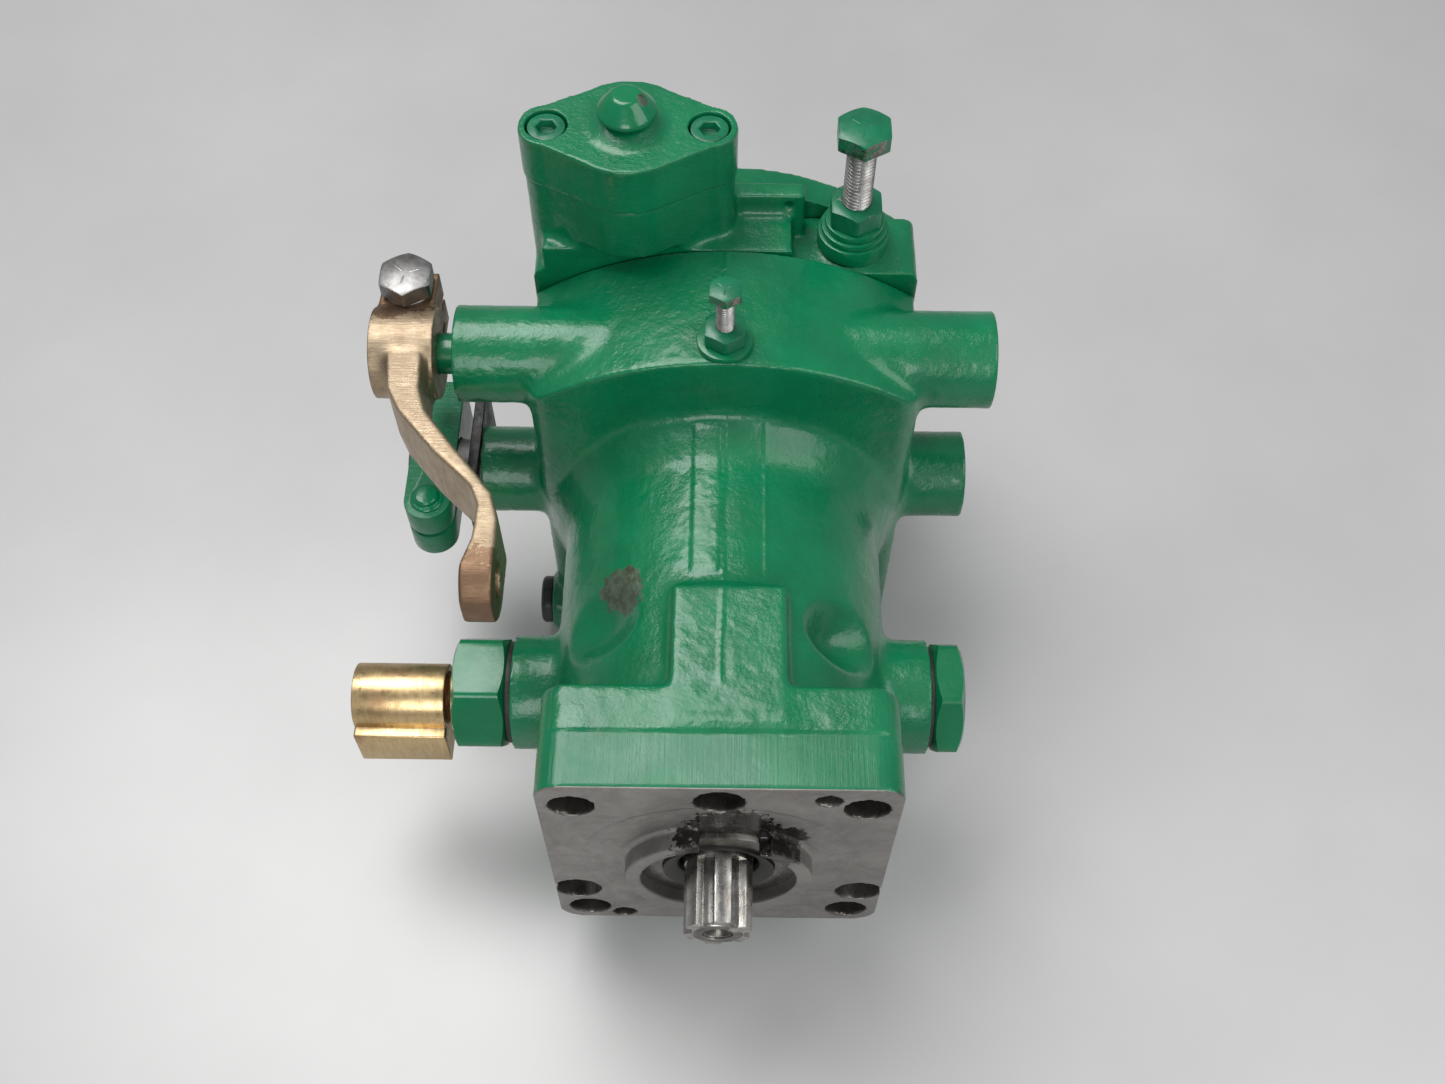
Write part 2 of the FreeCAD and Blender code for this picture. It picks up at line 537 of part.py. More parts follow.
lever_keep = slab("lever_keep", ("80", "200", "60"),
                  ("-control_reach - 40", "lever_tip + 6", "control_height - 30"))
lever_shape = common("lever_trimmed", [
    join("lever_outside", [lever_arm, lever_hub, lever_ears]),
    join("lever_limits", [lever_nose, lever_keep])])
hand_in(cut("lever_body", lever_shape, [
    rod("lever_bore", "control_radius", "40", ("%s - 3" % LEVER, CONTROL, "control_height"), "X"),
    slab("lever_slit", ("30", "30", "2"), ("%s - 3" % LEVER, "%s + 3" % CONTROL, "control_height - 1")),
    rod("lever_bolt_bore", "5", "40",
        ("%s + 11.5" % LEVER, "%s + 18.5" % CONTROL, "control_height - 20"), "Z"),
    rod("lever_eye", "5.2", "40", ("-control_reach - 10", "lever_tip + 6", "control_height"), "X")]),
    "control_lever")
hand_in(put(join("pinch_bolt_body", [
    hexagon("pinch_head", "17", "6.6", ("0", "0", "13.2")),
    rod("pinch_washer", "8.5", "1.2", ("0", "0", "12"), "Z"),
    rod("pinch_shank", "4.99", "52", ("0", "0", "-39"), "Z")]),
    ("%s + 11.5" % LEVER, "%s + 18.5" % CONTROL, "control_height")), "lever_pinch_bolt")

# ---------------------------------------------------------------- rear block and cover

block_box = rounded("block_rounded",
                    slab("block_box", ("2 * block_half", "block_depth", "block_top + box_floor"),
                         ("-block_half", BLOCK, "-box_floor")),
                    "4", lambda middle, way: abs(way.y) > 0.9)
pad = slab("block_pad", ("pad_end + block_half - 4", "17", "14"),
           ("4 - block_half", BLOCK, "pad_top - 14"))
rail = slab("block_rail", ("pad_end + 4.6 + block_half - 4", "rail_depth", "rail_top - block_top + 4"),
            ("4 - block_half", "%s + 17" % BLOCK, "block_top - 4"))

def lozenge(name, start, thick, swell):
    """The servo tower's plan: a round middle and two lobes, hulled."""
    body = plate(name + "_web", [
        ("-cap_screw_spacing / 2 - 2 - (%s) / 2" % swell, "-8.6 - (%s)" % swell),
        ("-8.5", "-tower_width / 2 + 1.8 - (%s)" % swell),
        ("8.5", "-tower_width / 2 + 1.8 - (%s)" % swell),
        ("cap_screw_spacing / 2 + 2 + (%s) / 2" % swell, "-8.6 - (%s)" % swell),
        ("cap_screw_spacing / 2 + 2 + (%s) / 2" % swell, "8.6 + (%s)" % swell),
        ("8.5", "tower_width / 2 - 1.8 + (%s)" % swell),
        ("-8.5", "tower_width / 2 - 1.8 + (%s)" % swell),
        ("-cap_screw_spacing / 2 - 2 - (%s) / 2" % swell, "8.6 + (%s)" % swell)],
        start, thick)
    parts = [body, rod(name + "_middle", "tower_width / 2 + (%s)" % swell, thick, ("0", "0", start), "Z")]
    lobe = "(tower_length - cap_screw_spacing) / 2 + (%s)" % swell
    for side in (-1, 1):
        parts.append(rod("%s_lobe_%d" % (name, side + 2), lobe, thick,
                         ("%d * cap_screw_spacing / 2" % side, "0", start), "Z"))
    return put(join(name, parts), ("-tower_side", TOWER, "0"))


tower = lozenge("tower_stem", "cover_radius + 1", "tower_top - cover_radius - 1", "-0.6")
tower_foot = common("tower_foot", [
    lozenge("tower_base", "block_top - 6", "cover_radius - block_top + 8", "-0.6"),
    slab("tower_foot_room", ("200", "block_depth", "200"), ("-100", BLOCK, "0"))])
stop_boss = rod("stop_boss", "12", "5", ("stop_side", TOWER, "block_top - 4"), "Z")
block_tools = [
    slab("block_room", ("2 * (block_half - 12.5)", "block_depth + 2", "box_floor - 10 + 47"),
         ("12.5 - block_half", "%s - 1" % BLOCK, "10 - box_floor")),
    rod("tower_bore_hole", "tower_bore", "tower_top - 60 + 2", ("-tower_side", TOWER, "60"), "Z"),
    rod("rod_bore", "5.05", "30", ("-tower_side", TOWER, "40"), "Z"),
    rod("spool_bore", "4.05", "22", ("0", "%s - 1" % BLOCK, "57"), "Y"),
    rod("stop_bore", "stop_size / 2 + 0.02", "60", ("stop_side", TOWER, "40"), "Z"),
    rod("rail_hole", "1.6", "6", ("pad_end - 1", "%s + 16" % BLOCK, "rail_top - 4.5"))]
for side in (-1, 1):
    block_tools.append(rod("tower_tap_%d" % (side + 2), "4", "18",
                           ("%d * cap_screw_spacing / 2 - tower_side" % side, TOWER, "tower_top - 17"), "Z"))
for k, (side, level) in enumerate(COVER_SCREWS):
    block_tools.append(rod("block_hole_%d" % k, "3.3", "block_depth + 2",
                           ("%d * (box_half - 6)" % side, "%s - 1" % BLOCK, level)))
hand_in(cut("block_body", join("block_outside", [block_box, pad, rail, tower, tower_foot, stop_boss]),
            block_tools), "rear_block")


def gasket(name, station, tools_top):
    """A paper gasket round the block's opening."""
    blank = slab(name + "_blank", ("2 * box_half - 4", "gasket_depth", "box_floor - 2 + 60"),
                 ("2 - box_half", station, "2 - box_floor"))
    tools = [slab(name + "_window", ("2 * (box_half - 11)", "2", "box_floor - 10 + %s" % tools_top),
                  ("11 - box_half", "%s - 1" % station, "10 - box_floor"))]
    tools.append(rod(name + "_spool_hole", "4.3", "2", ("0", "%s - 1" % station, "57")))
    for k, (side, level) in enumerate(COVER_SCREWS):
        tools.append(rod("%s_hole_%d" % (name, k), "3.3", "2",
                         ("%d * (box_half - 6)" % side, "%s - 1" % station, level)))
    return cut(name, blank, tools)


hand_in(join("gasket_pair", [gasket("front_gasket", BACK, 56), gasket("rear_gasket", BLOCK_BACK, 47)]),
        "block_gaskets")

cover_disc = common("cover_trimmed", [
    rod("cover_disc", "cover_radius", "cover_depth", ("0", COVER, "0")),
    slab("cover_limits", ("2 * box_half", "cover_depth", "cover_radius + box_floor"),
         ("-box_half", COVER, "-box_floor"))])
cover_ring = rod("cover_hub", "hub_radius", "%s - %s - 10" % (COVER, BLOCK), ("0", "%s + 10" % BLOCK, "0"))
cover_dome = taper("cover_dome", "38", "34", "4", ("0", COVER_BACK, "0"))
cover_tools = [rod("bearing_pocket", "21", "12", ("0", "%s + 9" % BLOCK, "0")),
               rod("tail_room", "14", "6", ("0", "%s + 20" % BLOCK, "0"))]
for k, (side, level) in enumerate(COVER_SCREWS):
    cover_tools.append(rod("cover_hole_%d" % k, "3.3", "cover_depth + 2",
                           ("%d * (box_half - 6)" % side, "%s - 1" % COVER, level)))
hand_in(cut("cover_body", join("cover_outside", [cover_disc, cover_ring, cover_dome]), cover_tools),
        "rear_cover")

screws = []
for k, (side, level) in enumerate(COVER_SCREWS):
    at_x = "%d * (box_half - 6)" % side
    body = join("cover_screw_round_%d" % k, [
        rod("cover_screw_head_%d" % k, "4.9", "6", (at_x, COVER_BACK, level)),
        rod("cover_screw_shank_%d" % k, "2.99", "cover_depth + block_depth + 2 * gasket_depth + 14",
            (at_x, "%s - 14" % BACK, level))])
    screws.append(cut("cover_screw_%d" % k, body, [
        hexagon("cover_screw_key_%d" % k, "5", "4", (at_x, "%s + 3" % COVER_BACK, level), "Y")]))
hand_in(join("cover_screw_set", screws), "cover_screws")

hand_in(sleeve("rear_outer_ring", "17.6", "20.95", "%s + 9.2" % BLOCK, "11.6"), "rear_bearing_outer")
hand_in(sleeve("rear_inner_ring", "tail_radius", "13.2", "%s + 9.2" % BLOCK, "11.6"), "rear_bearing_inner")

# ---------------------------------------------------------------- servo

hand_in(turned("servo_piston_body", [
    ("0", "6.3"), ("5", "6.3"), ("5", "70"), ("tower_bore - piston_gap", "70"),
    ("tower_bore - piston_gap", "88"), ("6.4", "88"), ("6.4", "82"), ("0", "82")],
    ("-tower_side", TOWER, "0"), "Z"), "servo_piston")
servo_coil = spring("servo_coil", "8.4", "1.2", "6.2", "33.6", ("-tower_side", TOWER, "88.2"), "Z")
hand_in(servo_coil, "servo_spring")

cap = join("cap_outside", [
    lozenge("cap_plate", "tower_top", "tower_cap", "0"),
    taper("cap_fillet", "13", "7.5", "3.2", ("-tower_side", TOWER, "tower_top + tower_cap"), "Z")])
cap_tools = [
    rod("cap_room", "tower_bore", "14.6", ("-tower_side", TOWER, "tower_top - 1"), "Z"),
    rod("cap_plug_bore", "4", "30", ("-tower_side", TOWER, "tower_top"), "Z")]
for side in (-1, 1):
    at_x = "%d * cap_screw_spacing / 2 - tower_side" % side
    cap_tools.append(rod("cap_hole_%d" % (side + 2), "4.2", "30", (at_x, TOWER, "tower_top - 1"), "Z"))
    cap_tools.append(rod("cap_sink_%d" % (side + 2), "6.9", "12",
                         (at_x, TOWER, "tower_top + tower_cap - 7"), "Z"))
hand_in(cut("cap_body", cap, cap_tools), "servo_cap")
screws = []
for side in (-1, 1):
    at_x = "%d * cap_screw_spacing / 2 - tower_side" % side
    body = join("cap_screw_round_%d" % (side + 2), [
        rod("cap_screw_head_%d" % (side + 2), "6.2", "6.2", (at_x, TOWER, "tower_top + tower_cap - 7"), "Z"),
        rod("cap_screw_shank_%d" % (side + 2), "3.99", "26", (at_x, TOWER, "tower_top - 15"), "Z")])
    screws.append(cut("cap_screw_%d" % (side + 2), body, [
        hexagon("cap_screw_key_%d" % (side + 2), "6", "6",
                (at_x, TOWER, "tower_top + tower_cap - 4"))]))
hand_in(join("cap_screw_set", screws), "servo_cap_screws")
hand_in(turned("cap_plug_body", [
    ("0", "-8"), ("3.99", "-8"), ("3.99", "3.2"), ("6.5", "3.2"), ("6.5", "5"), ("9.65", "5.6"),
    ("9.65", "7"), ("5.2", "12.2"), ("4.2", "12.8"), ("0", "12.8")],
    ("-tower_side", TOWER, "tower_top + tower_cap"), "Z"), "servo_cap_plug")
hand_in(turned("spool_body", [
    ("0", "%s + 17.5" % TRUNNION), ("4", "%s + 17.5" % TRUNNION), ("4", "%s + 32" % TRUNNION),
    ("2.6", "%s + 33" % TRUNNION), ("2.6", "%s + 38" % TRUNNION), ("4", "%s + 39" % TRUNNION),
    ("4", "%s + 46" % TRUNNION), ("0", "%s + 46" % TRUNNION)], ("0", "0", "57")), "pilot_spool")

# ---------------------------------------------------------------- adjusting screws

hand_in(put(join("stop_bolt_body", [
    hexagon("stop_bolt_head", "17", "6.6", ("0", "0", "stop_head_base")),
    rod("stop_bolt_shank", "stop_size / 2", "stop_head_base - stop_tip - 1", ("0", "0", "stop_tip + 1"), "Z"),
    taper("stop_bolt_end", "3.4", "stop_size / 2", "1", ("0", "0", "stop_tip"), "Z")]),
    ("stop_side", TOWER, "0")), "stop_bolt")
stop_nut = hexagon("stop_nut_blank", "17", "8", ("stop_side", TOWER, "block_top + 12.4"))
hand_in(cut("stop_nut_body", stop_nut, [
    rod("stop_nut_bore", "stop_size / 2 + 0.02", "20", ("stop_side", TOWER, "block_top + 6"), "Z")]),
    "stop_bolt_nut")
hand_in(join("stop_washer_set", [
    sleeve("stop_washer_wide", "stop_size / 2 + 0.4", "12.4", "block_top + 1", "6.2",
           ("stop_side", TOWER, "0"), "Z"),
    sleeve("stop_washer_mid", "stop_size / 2 + 0.4", "11.4", "block_top + 7.4", "2.3",
           ("stop_side", TOWER, "0"), "Z"),
    sleeve("stop_washer_top", "stop_size / 2 + 0.4", "10.2", "block_top + 9.9", "2.4",
           ("stop_side", TOWER, "0"), "Z"),
    sleeve("small_washer", "small_stop_size / 2 + 0.3", "9.2", "box_crest", "2.2",
           ("0", "box_front + 9", "0"), "Z")]), "stop_washers")
hand_in(put(join("small_screw_body", [
    hexagon("small_screw_head", "10", "4", ("0", "0", "small_head_base")),
    rod("small_screw_shank", "small_stop_size / 2", "small_head_base - small_tip",
        ("0", "0", "small_tip"), "Z")]),
    ("0", "box_front + 9", "0")), "small_stop_screw")
hand_in(cut("small_nut_body",
            hexagon("small_nut_blank", "13", "6", ("0", "box_front + 9", "box_crest + 2.2")), [
                rod("small_nut_bore", "small_stop_size / 2 + 0.02", "12",
                    ("0", "box_front + 9", "box_crest"), "Z")]),
        "small_stop_nut")

# ---------------------------------------------------------------- port fittings

hand_in(cut("fitting_body", join("fitting_outside", [
    hexagon("fitting_hex", "fitting_flats", "fitting_length",
            ("-port_reach - 2 - fitting_length", "port_station", "0"), "X"),
    rod("fitting_spigot", "port_bore - 0.02", "18", ("-port_reach - 2", "port_station", "0"), "X"),
    rod("fitting_stub", "stub_radius", "14.5",
        ("-port_reach - 16 - fitting_length", "port_station", "-coupling_drop"), "X")]), [
    rod("fitting_bore", "6", "fitting_length + 18",
        ("-port_reach - fitting_length", "port_station", "0"), "X"),
    rod("stub_bore", "5", "24",
        ("-port_reach - 20 - fitting_length", "port_station", "-coupling_drop"), "X")]), "port_fitting")
COUPLING = "(-port_reach - 6 - fitting_length - coupling_length)"
coupling = join("coupling_outside", [
    rod("coupling_round", "coupling_radius", "coupling_length",
        (COUPLING, "port_station", "-coupling_drop"), "X"),
    slab("coupling_lug", ("coupling_length", "lug_front", "lug_height"),
         (COUPLING, "port_station - lug_front", "-lug_drop"))])
hand_in(cut("coupling_body", coupling, [
    rod(name, radius, length, ("%s + %s" % (COUPLING, start), "port_station", "-coupling_drop"), "X")
    for name, radius, length, start in (
        ("coupling_bore", "5.5", "60", "-4"),
        ("coupling_counterbore", "stub_radius", "14", "coupling_length - 10"),
        ("coupling_mouth", "8", "11", "-1"))]), "hose_coupling")
hand_in(join("plug_body", [
    hexagon("plug_hex", "fitting_flats", "plug_length", ("port_reach + 1.5", "port_station", "0"), "X"),
    rod("plug_spigot", "port_bore - 0.02", "18", ("port_reach - 16.5", "port_station", "0"), "X")]),
    "port_plug")
hand_in(join("port_seal_pair", [
    sleeve("port_seal_left", "port_bore", "17.4", "-port_reach - 2", "2", ("0", "port_station", "0"), "X"),
    sleeve("port_seal_right", "port_bore", "17.2", "port_reach", "1.5", ("0", "port_station", "0"), "X")]),
    "port_seals")
hand_in(turned("drain_plug_body", [
    ("0", "13"), ("6.98", "13"), ("6.98", "0"), ("9.5", "0"), ("9.5", "-3.5"), ("8.5", "-4.5"),
    ("5.5", "-4.5"), ("5.5", "-2"), ("0", "-2")],
    ("-box_half - 2.5", "box_front + 4", "17 - box_floor"), "X"), "drain_plug")

# ---------------------------------------------------------------- check and write

doc.recompute()
faults = []
for thing in doc.Objects:
    if "Invalid" in thing.State or "Error" in thing.State:
        faults.append("%s is %s" % (thing.Label, thing.State))
for thing in SUBPARTS:
    if thing.Shape.isNull() or not thing.Shape.isValid() or not thing.Shape.Solids:
        faults.append("%s has no valid solid" % thing.Label)
if faults:
    raise RuntimeError("; ".join(faults))
for thing in SUBPARTS:
    thing.Shape.exportStep("parts/%s.step" % thing.Label)
    print(thing.Label, len(thing.Shape.Solids), round(thing.Shape.Volume))
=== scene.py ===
"""Looks of the axial piston pump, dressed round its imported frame."""

import logging
import math
from dataclasses import dataclass, field
from enum import Enum
from typing import Callable, Iterable, Optional, Sequence

import bmesh
import bpy
import numpy as np
from mathutils import Matrix, Vector


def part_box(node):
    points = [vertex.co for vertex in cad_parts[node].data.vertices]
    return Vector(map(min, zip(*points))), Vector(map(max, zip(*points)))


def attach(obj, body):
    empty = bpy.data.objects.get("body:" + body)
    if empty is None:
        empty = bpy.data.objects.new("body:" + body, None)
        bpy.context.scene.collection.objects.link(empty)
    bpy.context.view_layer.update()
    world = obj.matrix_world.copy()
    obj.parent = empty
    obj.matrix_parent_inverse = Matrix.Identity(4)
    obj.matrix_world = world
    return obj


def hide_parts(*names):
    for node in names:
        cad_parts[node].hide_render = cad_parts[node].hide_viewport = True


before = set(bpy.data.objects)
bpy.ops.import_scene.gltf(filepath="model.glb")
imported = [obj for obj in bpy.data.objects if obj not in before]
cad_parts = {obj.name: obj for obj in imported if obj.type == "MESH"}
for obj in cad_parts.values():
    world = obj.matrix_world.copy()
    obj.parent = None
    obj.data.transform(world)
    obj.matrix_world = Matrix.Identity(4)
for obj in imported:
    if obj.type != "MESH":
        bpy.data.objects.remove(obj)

LOG = logging.getLogger("pump")
MM = 0.001
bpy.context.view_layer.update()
Point = tuple[float, float, float]
Colour = tuple[float, float, float]


class Slot(Enum):
    """The record's material slots that a dressed piece can take."""

    GREEN_CAST = "green_cast"
    GREEN_MACHINED = "green_machined"
    BARE_IRON = "bare_iron"
    STEEL = "steel"
    DARK_STEEL = "dark_steel"
    BRONZE = "bronze"
    BRASS = "brass"
    RUBBER = "rubber"
    PAPER = "paper"
    BLACK_PLASTIC = "black_plastic"


class Axis(Enum):
    """A row axis, by its index."""

    X = 0
    Y = 1
    Z = 2


# ------------------------------------------------------------------ finishes


class Graph:
    """A shader under construction, with short calls for the usual nodes."""

    def __init__(self, name: str) -> None:
        """Start an empty principled material.

        Args:
            name: the material's name.
        """
        self.material = bpy.data.materials.new(name)
        self.material.use_nodes = True
        self.tree = self.material.node_tree
        self.tree.nodes.clear()
        self.shader = self.tree.nodes.new("ShaderNodeBsdfPrincipled")
        output = self.tree.nodes.new("ShaderNodeOutputMaterial")
        self.tree.links.new(self.shader.outputs["BSDF"], output.inputs["Surface"])
        self.place = self.tree.nodes.new("ShaderNodeTexCoord").outputs["Object"]

    def link(self, source: bpy.types.NodeSocket, target: bpy.types.NodeSocket) -> None:
        """Join an output to an input."""
        self.tree.links.new(source, target)

    def feed(self, socket: bpy.types.NodeSocket, value: object) -> None:
        """Give an input either a link or a constant.

        Args:
            socket: the input.
            value: an output socket, a number or a colour.
        """
        if isinstance(value, bpy.types.NodeSocket):
            self.link(value, socket)
        elif isinstance(value, tuple) and len(socket.default_value) == 4:
            socket.default_value = (*value, 1.0)
        else:
            socket.default_value = value

    def stretched(self, scale: Point) -> bpy.types.NodeSocket:
        """The object's coordinates scaled per axis.

        Args:
            scale: the factor along each axis.

        Returns:
            The scaled coordinates.
        """
        node = self.tree.nodes.new("ShaderNodeMapping")
        node.inputs["Scale"].default_value = scale
        self.link(self.place, node.inputs["Vector"])
        return node.outputs["Vector"]

    def noise(self, scale: float, detail: float = 4.0, rough: float = 0.55,
              place: Optional[bpy.types.NodeSocket] = None, warp: float = 0.0) -> bpy.types.NodeSocket:
        """Fractal noise.

        Args:
            scale: features per metre.
            detail: octaves.
            rough: weight of the fine octaves.
            place: coordinates, the object's own if left out.
            warp: distortion.

        Returns:
            The noise factor.
        """
        node = self.tree.nodes.new("ShaderNodeTexNoise")
        node.inputs["Scale"].default_value = scale
        node.inputs["Detail"].default_value = detail
        node.inputs["Roughness"].default_value = rough
        node.inputs["Distortion"].default_value = warp
        self.link(place or self.place, node.inputs["Vector"])
        return node.outputs["Fac"]

    def ramp(self, factor: bpy.types.NodeSocket,
             stops: Sequence[tuple[float, object]]) -> bpy.types.NodeSocket:
        """A colour ramp.

        Args:
            factor: where on the ramp to read.
            stops: pairs of position and either a grey level or a colour.

        Returns:
            The ramp's colour.
        """
        node = self.tree.nodes.new("ShaderNodeValToRGB")
        elements = node.color_ramp.elements
        while len(elements) < len(stops):
            elements.new(0.5)
        for element, (at, tint) in zip(elements, stops):
            element.position = at
            element.color = (*tint, 1.0) if isinstance(tint, tuple) else (tint, tint, tint, 1.0)
        self.link(factor, node.inputs["Fac"])
        return node.outputs["Color"]

    def math(self, kind: str, first: object, second: object = 0.0,
             clamp: bool = False) -> bpy.types.NodeSocket:
        """One arithmetic step.

        Args:
            kind: Blender's name for the operation.
            first: the first operand.
            second: the second operand.
            clamp: keep the result between 0 and 1.

        Returns:
            The result.
        """
        node = self.tree.nodes.new("ShaderNodeMath")
        node.operation = kind
        node.use_clamp = clamp
        self.feed(node.inputs[0], first)
        self.feed(node.inputs[1], second)
        return node.outputs["Value"]

    def mix(self, factor: object, first: object, second: object) -> bpy.types.NodeSocket:
        """Blend two colours.

        Args:
            factor: 0 for the first, 1 for the second.
            first: a colour or socket.
            second: a colour or socket.

        Returns:
            The blended colour.
        """
        node = self.tree.nodes.new("ShaderNodeMix")
        node.data_type = "RGBA"
        self.feed(node.inputs["Factor"], factor)
        for socket, value in ((node.inputs[6], first), (node.inputs[7], second)):
            self.feed(socket, value)
        return node.outputs[2]

    def bump(self, height: bpy.types.NodeSocket, strength: float, depth: float,
             normal: Optional[bpy.types.NodeSocket] = None) -> bpy.types.NodeSocket:
        """Surface relief too fine to model.

        Args:
            height: the relief.
            strength: 0 to 1.
            depth: metres from low to high.
            normal: relief to build on.

        Returns:
            The bumped normal.
        """
        node = self.tree.nodes.new("ShaderNodeBump")
        node.inputs["Strength"].default_value = strength
        node.inputs["Distance"].default_value = depth
        self.link(height, node.inputs["Height"])
        if normal is not None:
            self.link(normal, node.inputs["Normal"])
        return node.outputs["Normal"]

    def near(self, spots: Iterable[tuple[Point, float]], ragged: float = 0.5) -> bpy.types.NodeSocket:
        """A ragged mask round some spots.

        Args:
            spots: centres and radii in metres.
            ragged: how far noise eats into each spot's edge.

        Returns:
            1 inside a spot, 0 outside.
        """
        grit = self.noise(420.0, 5.0, 0.7)
        total = None
        for centre, radius in spots:
            node = self.tree.nodes.new("ShaderNodeVectorMath")
            node.operation = "DISTANCE"
            node.inputs[1].default_value = centre
            self.link(self.place, node.inputs[0])
            share = self.math("DIVIDE", node.outputs["Value"], radius)
            edge = self.math("MULTIPLY_ADD", grit, 2.0 * ragged)
            edge.node.inputs[2].default_value = -ragged
            inside = self.math("LESS_THAN", self.math("ADD", share, edge), 1.0)
            total = inside if total is None else self.math("MAXIMUM", total, inside)
        return total

    def finish(self, **inputs: object) -> bpy.types.Material:
        """Feed the shader and hand the material back.

        Args:
            **inputs: shader inputs, with underscores for spaces.

        Returns:
            The finished material.
        """
        for name, value in inputs.items():
            self.feed(self.shader.inputs[name.replace("_", " ")], value)
        return self.material


@dataclass(frozen=True)
class GreenPaint:
    """Glossy green paint, over rough casting or over machined faces."""

    name: str
    grain: float = 0.5
    gloss: float = 0.24
    light: Colour = (0.0005, 0.17, 0.066)
    deep: Colour = (0.0003, 0.122, 0.046)
    metal: Colour = (0.11, 0.16, 0.115)
    rust: Colour = (0.07, 0.085, 0.05)
    worn: tuple[tuple[Point, float], ...] = ()
    streaks: Optional[Point] = None
    cut: float = 0.0003

    def build(self) -> bpy.types.Material:
        """Make the material.

        Returns:
            The material.
        """
        graph = Graph(self.name)
        cloud = graph.noise(38.0, 5.0, 0.6)
        fleck = graph.noise(2400.0, 2.0, 0.6)
        tone = graph.ramp(cloud, [(0.3, self.deep), (0.68, self.light)])
        dust = graph.ramp(graph.noise(150.0, 6.0, 0.7, warp=0.6), [(0.56, 0.0), (0.8, 0.16)])
        tone = graph.mix(dust, tone, (0.012, 0.19, 0.1))
        smear = graph.noise(70.0, 6.0, 0.65)
        rough = graph.ramp(smear, [(0.3, self.gloss - 0.07), (0.72, self.gloss + 0.16)])
        pits = graph.noise(760.0, 4.0, 0.6)
        swell = graph.noise(260.0, 3.0, 0.5)
        normal = graph.bump(swell, self.grain, 0.00045)
        normal = graph.bump(pits, self.grain, 0.0004, normal)
        normal = graph.bump(fleck, 0.25 * self.grain, 0.0001, normal)
        metal = 0.0
        if self.streaks is not None:
            lines = graph.noise(240.0, 5.0, 0.7, graph.stretched(self.streaks))
            normal = graph.bump(lines, 0.6, self.cut, normal)
            tone = graph.mix(graph.ramp(lines, [(0.35, 0.0), (0.75, 0.35)]), tone, (0.004, 0.12, 0.06))
        if self.worn:
            mask = graph.near(self.worn)
            share = graph.ramp(graph.noise(260.0, 5.0, 0.7), [(0.42, 0.0), (0.6, 1.0)])
            under = graph.mix(share, self.metal, self.rust)
            tone = graph.mix(mask, tone, under)
            rough = graph.mix(mask, rough, (0.45, 0.45, 0.45))
            metal = graph.math("MULTIPLY", mask, 0.6)
        return graph.finish(Base_Color=tone, Roughness=rough, Normal=normal, Metallic=metal,
                        Specular_IOR_Level=0.4, Coat_Weight=0.25, Coat_Roughness=0.1)


@dataclass(frozen=True)
class TurnedIron:
    """Bare grey iron faced in a lathe, with oily smears."""

    name: str
    spin: Axis = Axis.Y
    light: Colour = (0.42, 0.42, 0.41)
    dark: Colour = (0.2, 0.2, 0.19)
    grease: tuple[tuple[Point, float], ...] = ()
    gloss: float = 0.33
    rings: float = 5200.0

    def build(self) -> bpy.types.Material:
        """Make the material.

        Returns:
            The material.
        """
        graph = Graph(self.name)
        flat = [1.0, 1.0, 1.0]
        flat[self.spin.value] = 0.0
        node = graph.tree.nodes.new("ShaderNodeVectorMath")
        node.operation = "LENGTH"
        graph.link(graph.stretched(tuple(flat)), node.inputs[0])
        radius = node.outputs["Value"]
        groove = graph.math("SINE", graph.math("MULTIPLY", radius, self.rings))
        wander = graph.noise(60.0, 6.0, 0.7, warp=0.8)
        scratch = graph.noise(300.0, 4.0, 0.7, graph.stretched((9.0, 1.0, 1.0)))
        tone = graph.ramp(wander, [(0.3, self.dark), (0.62, self.light)])
        tone = graph.mix(graph.ramp(scratch, [(0.6, 0.0), (0.72, 0.5)]), tone, (0.55, 0.55, 0.54))
        rough = graph.ramp(graph.noise(120.0, 5.0, 0.7), [(0.3, self.gloss - 0.08), (0.75, self.gloss + 0.2)])
        normal = graph.bump(groove, 0.22, 0.00004)
        normal = graph.bump(scratch, 0.25, 0.00008, normal)
        metal = 0.85
        if self.grease:
            mask = graph.near(self.grease, 0.75)
            cake = graph.noise(330.0, 6.0, 0.75)
            blot = graph.ramp(cake, [(0.52, (0.01, 0.008, 0.007)), (0.78, (0.12, 0.1, 0.07))])
            tone = graph.mix(mask, tone, blot)
            rough = graph.mix(mask, rough, (0.2, 0.2, 0.2))
            metal = graph.math("SUBTRACT", 0.85, graph.math("MULTIPLY", mask, 0.7))
            normal = graph.bump(graph.noise(500.0, 5.0, 0.7), 0.3, 0.0002, normal)
        return graph.finish(Base_Color=tone, Roughness=rough, Metallic=metal, Normal=normal)


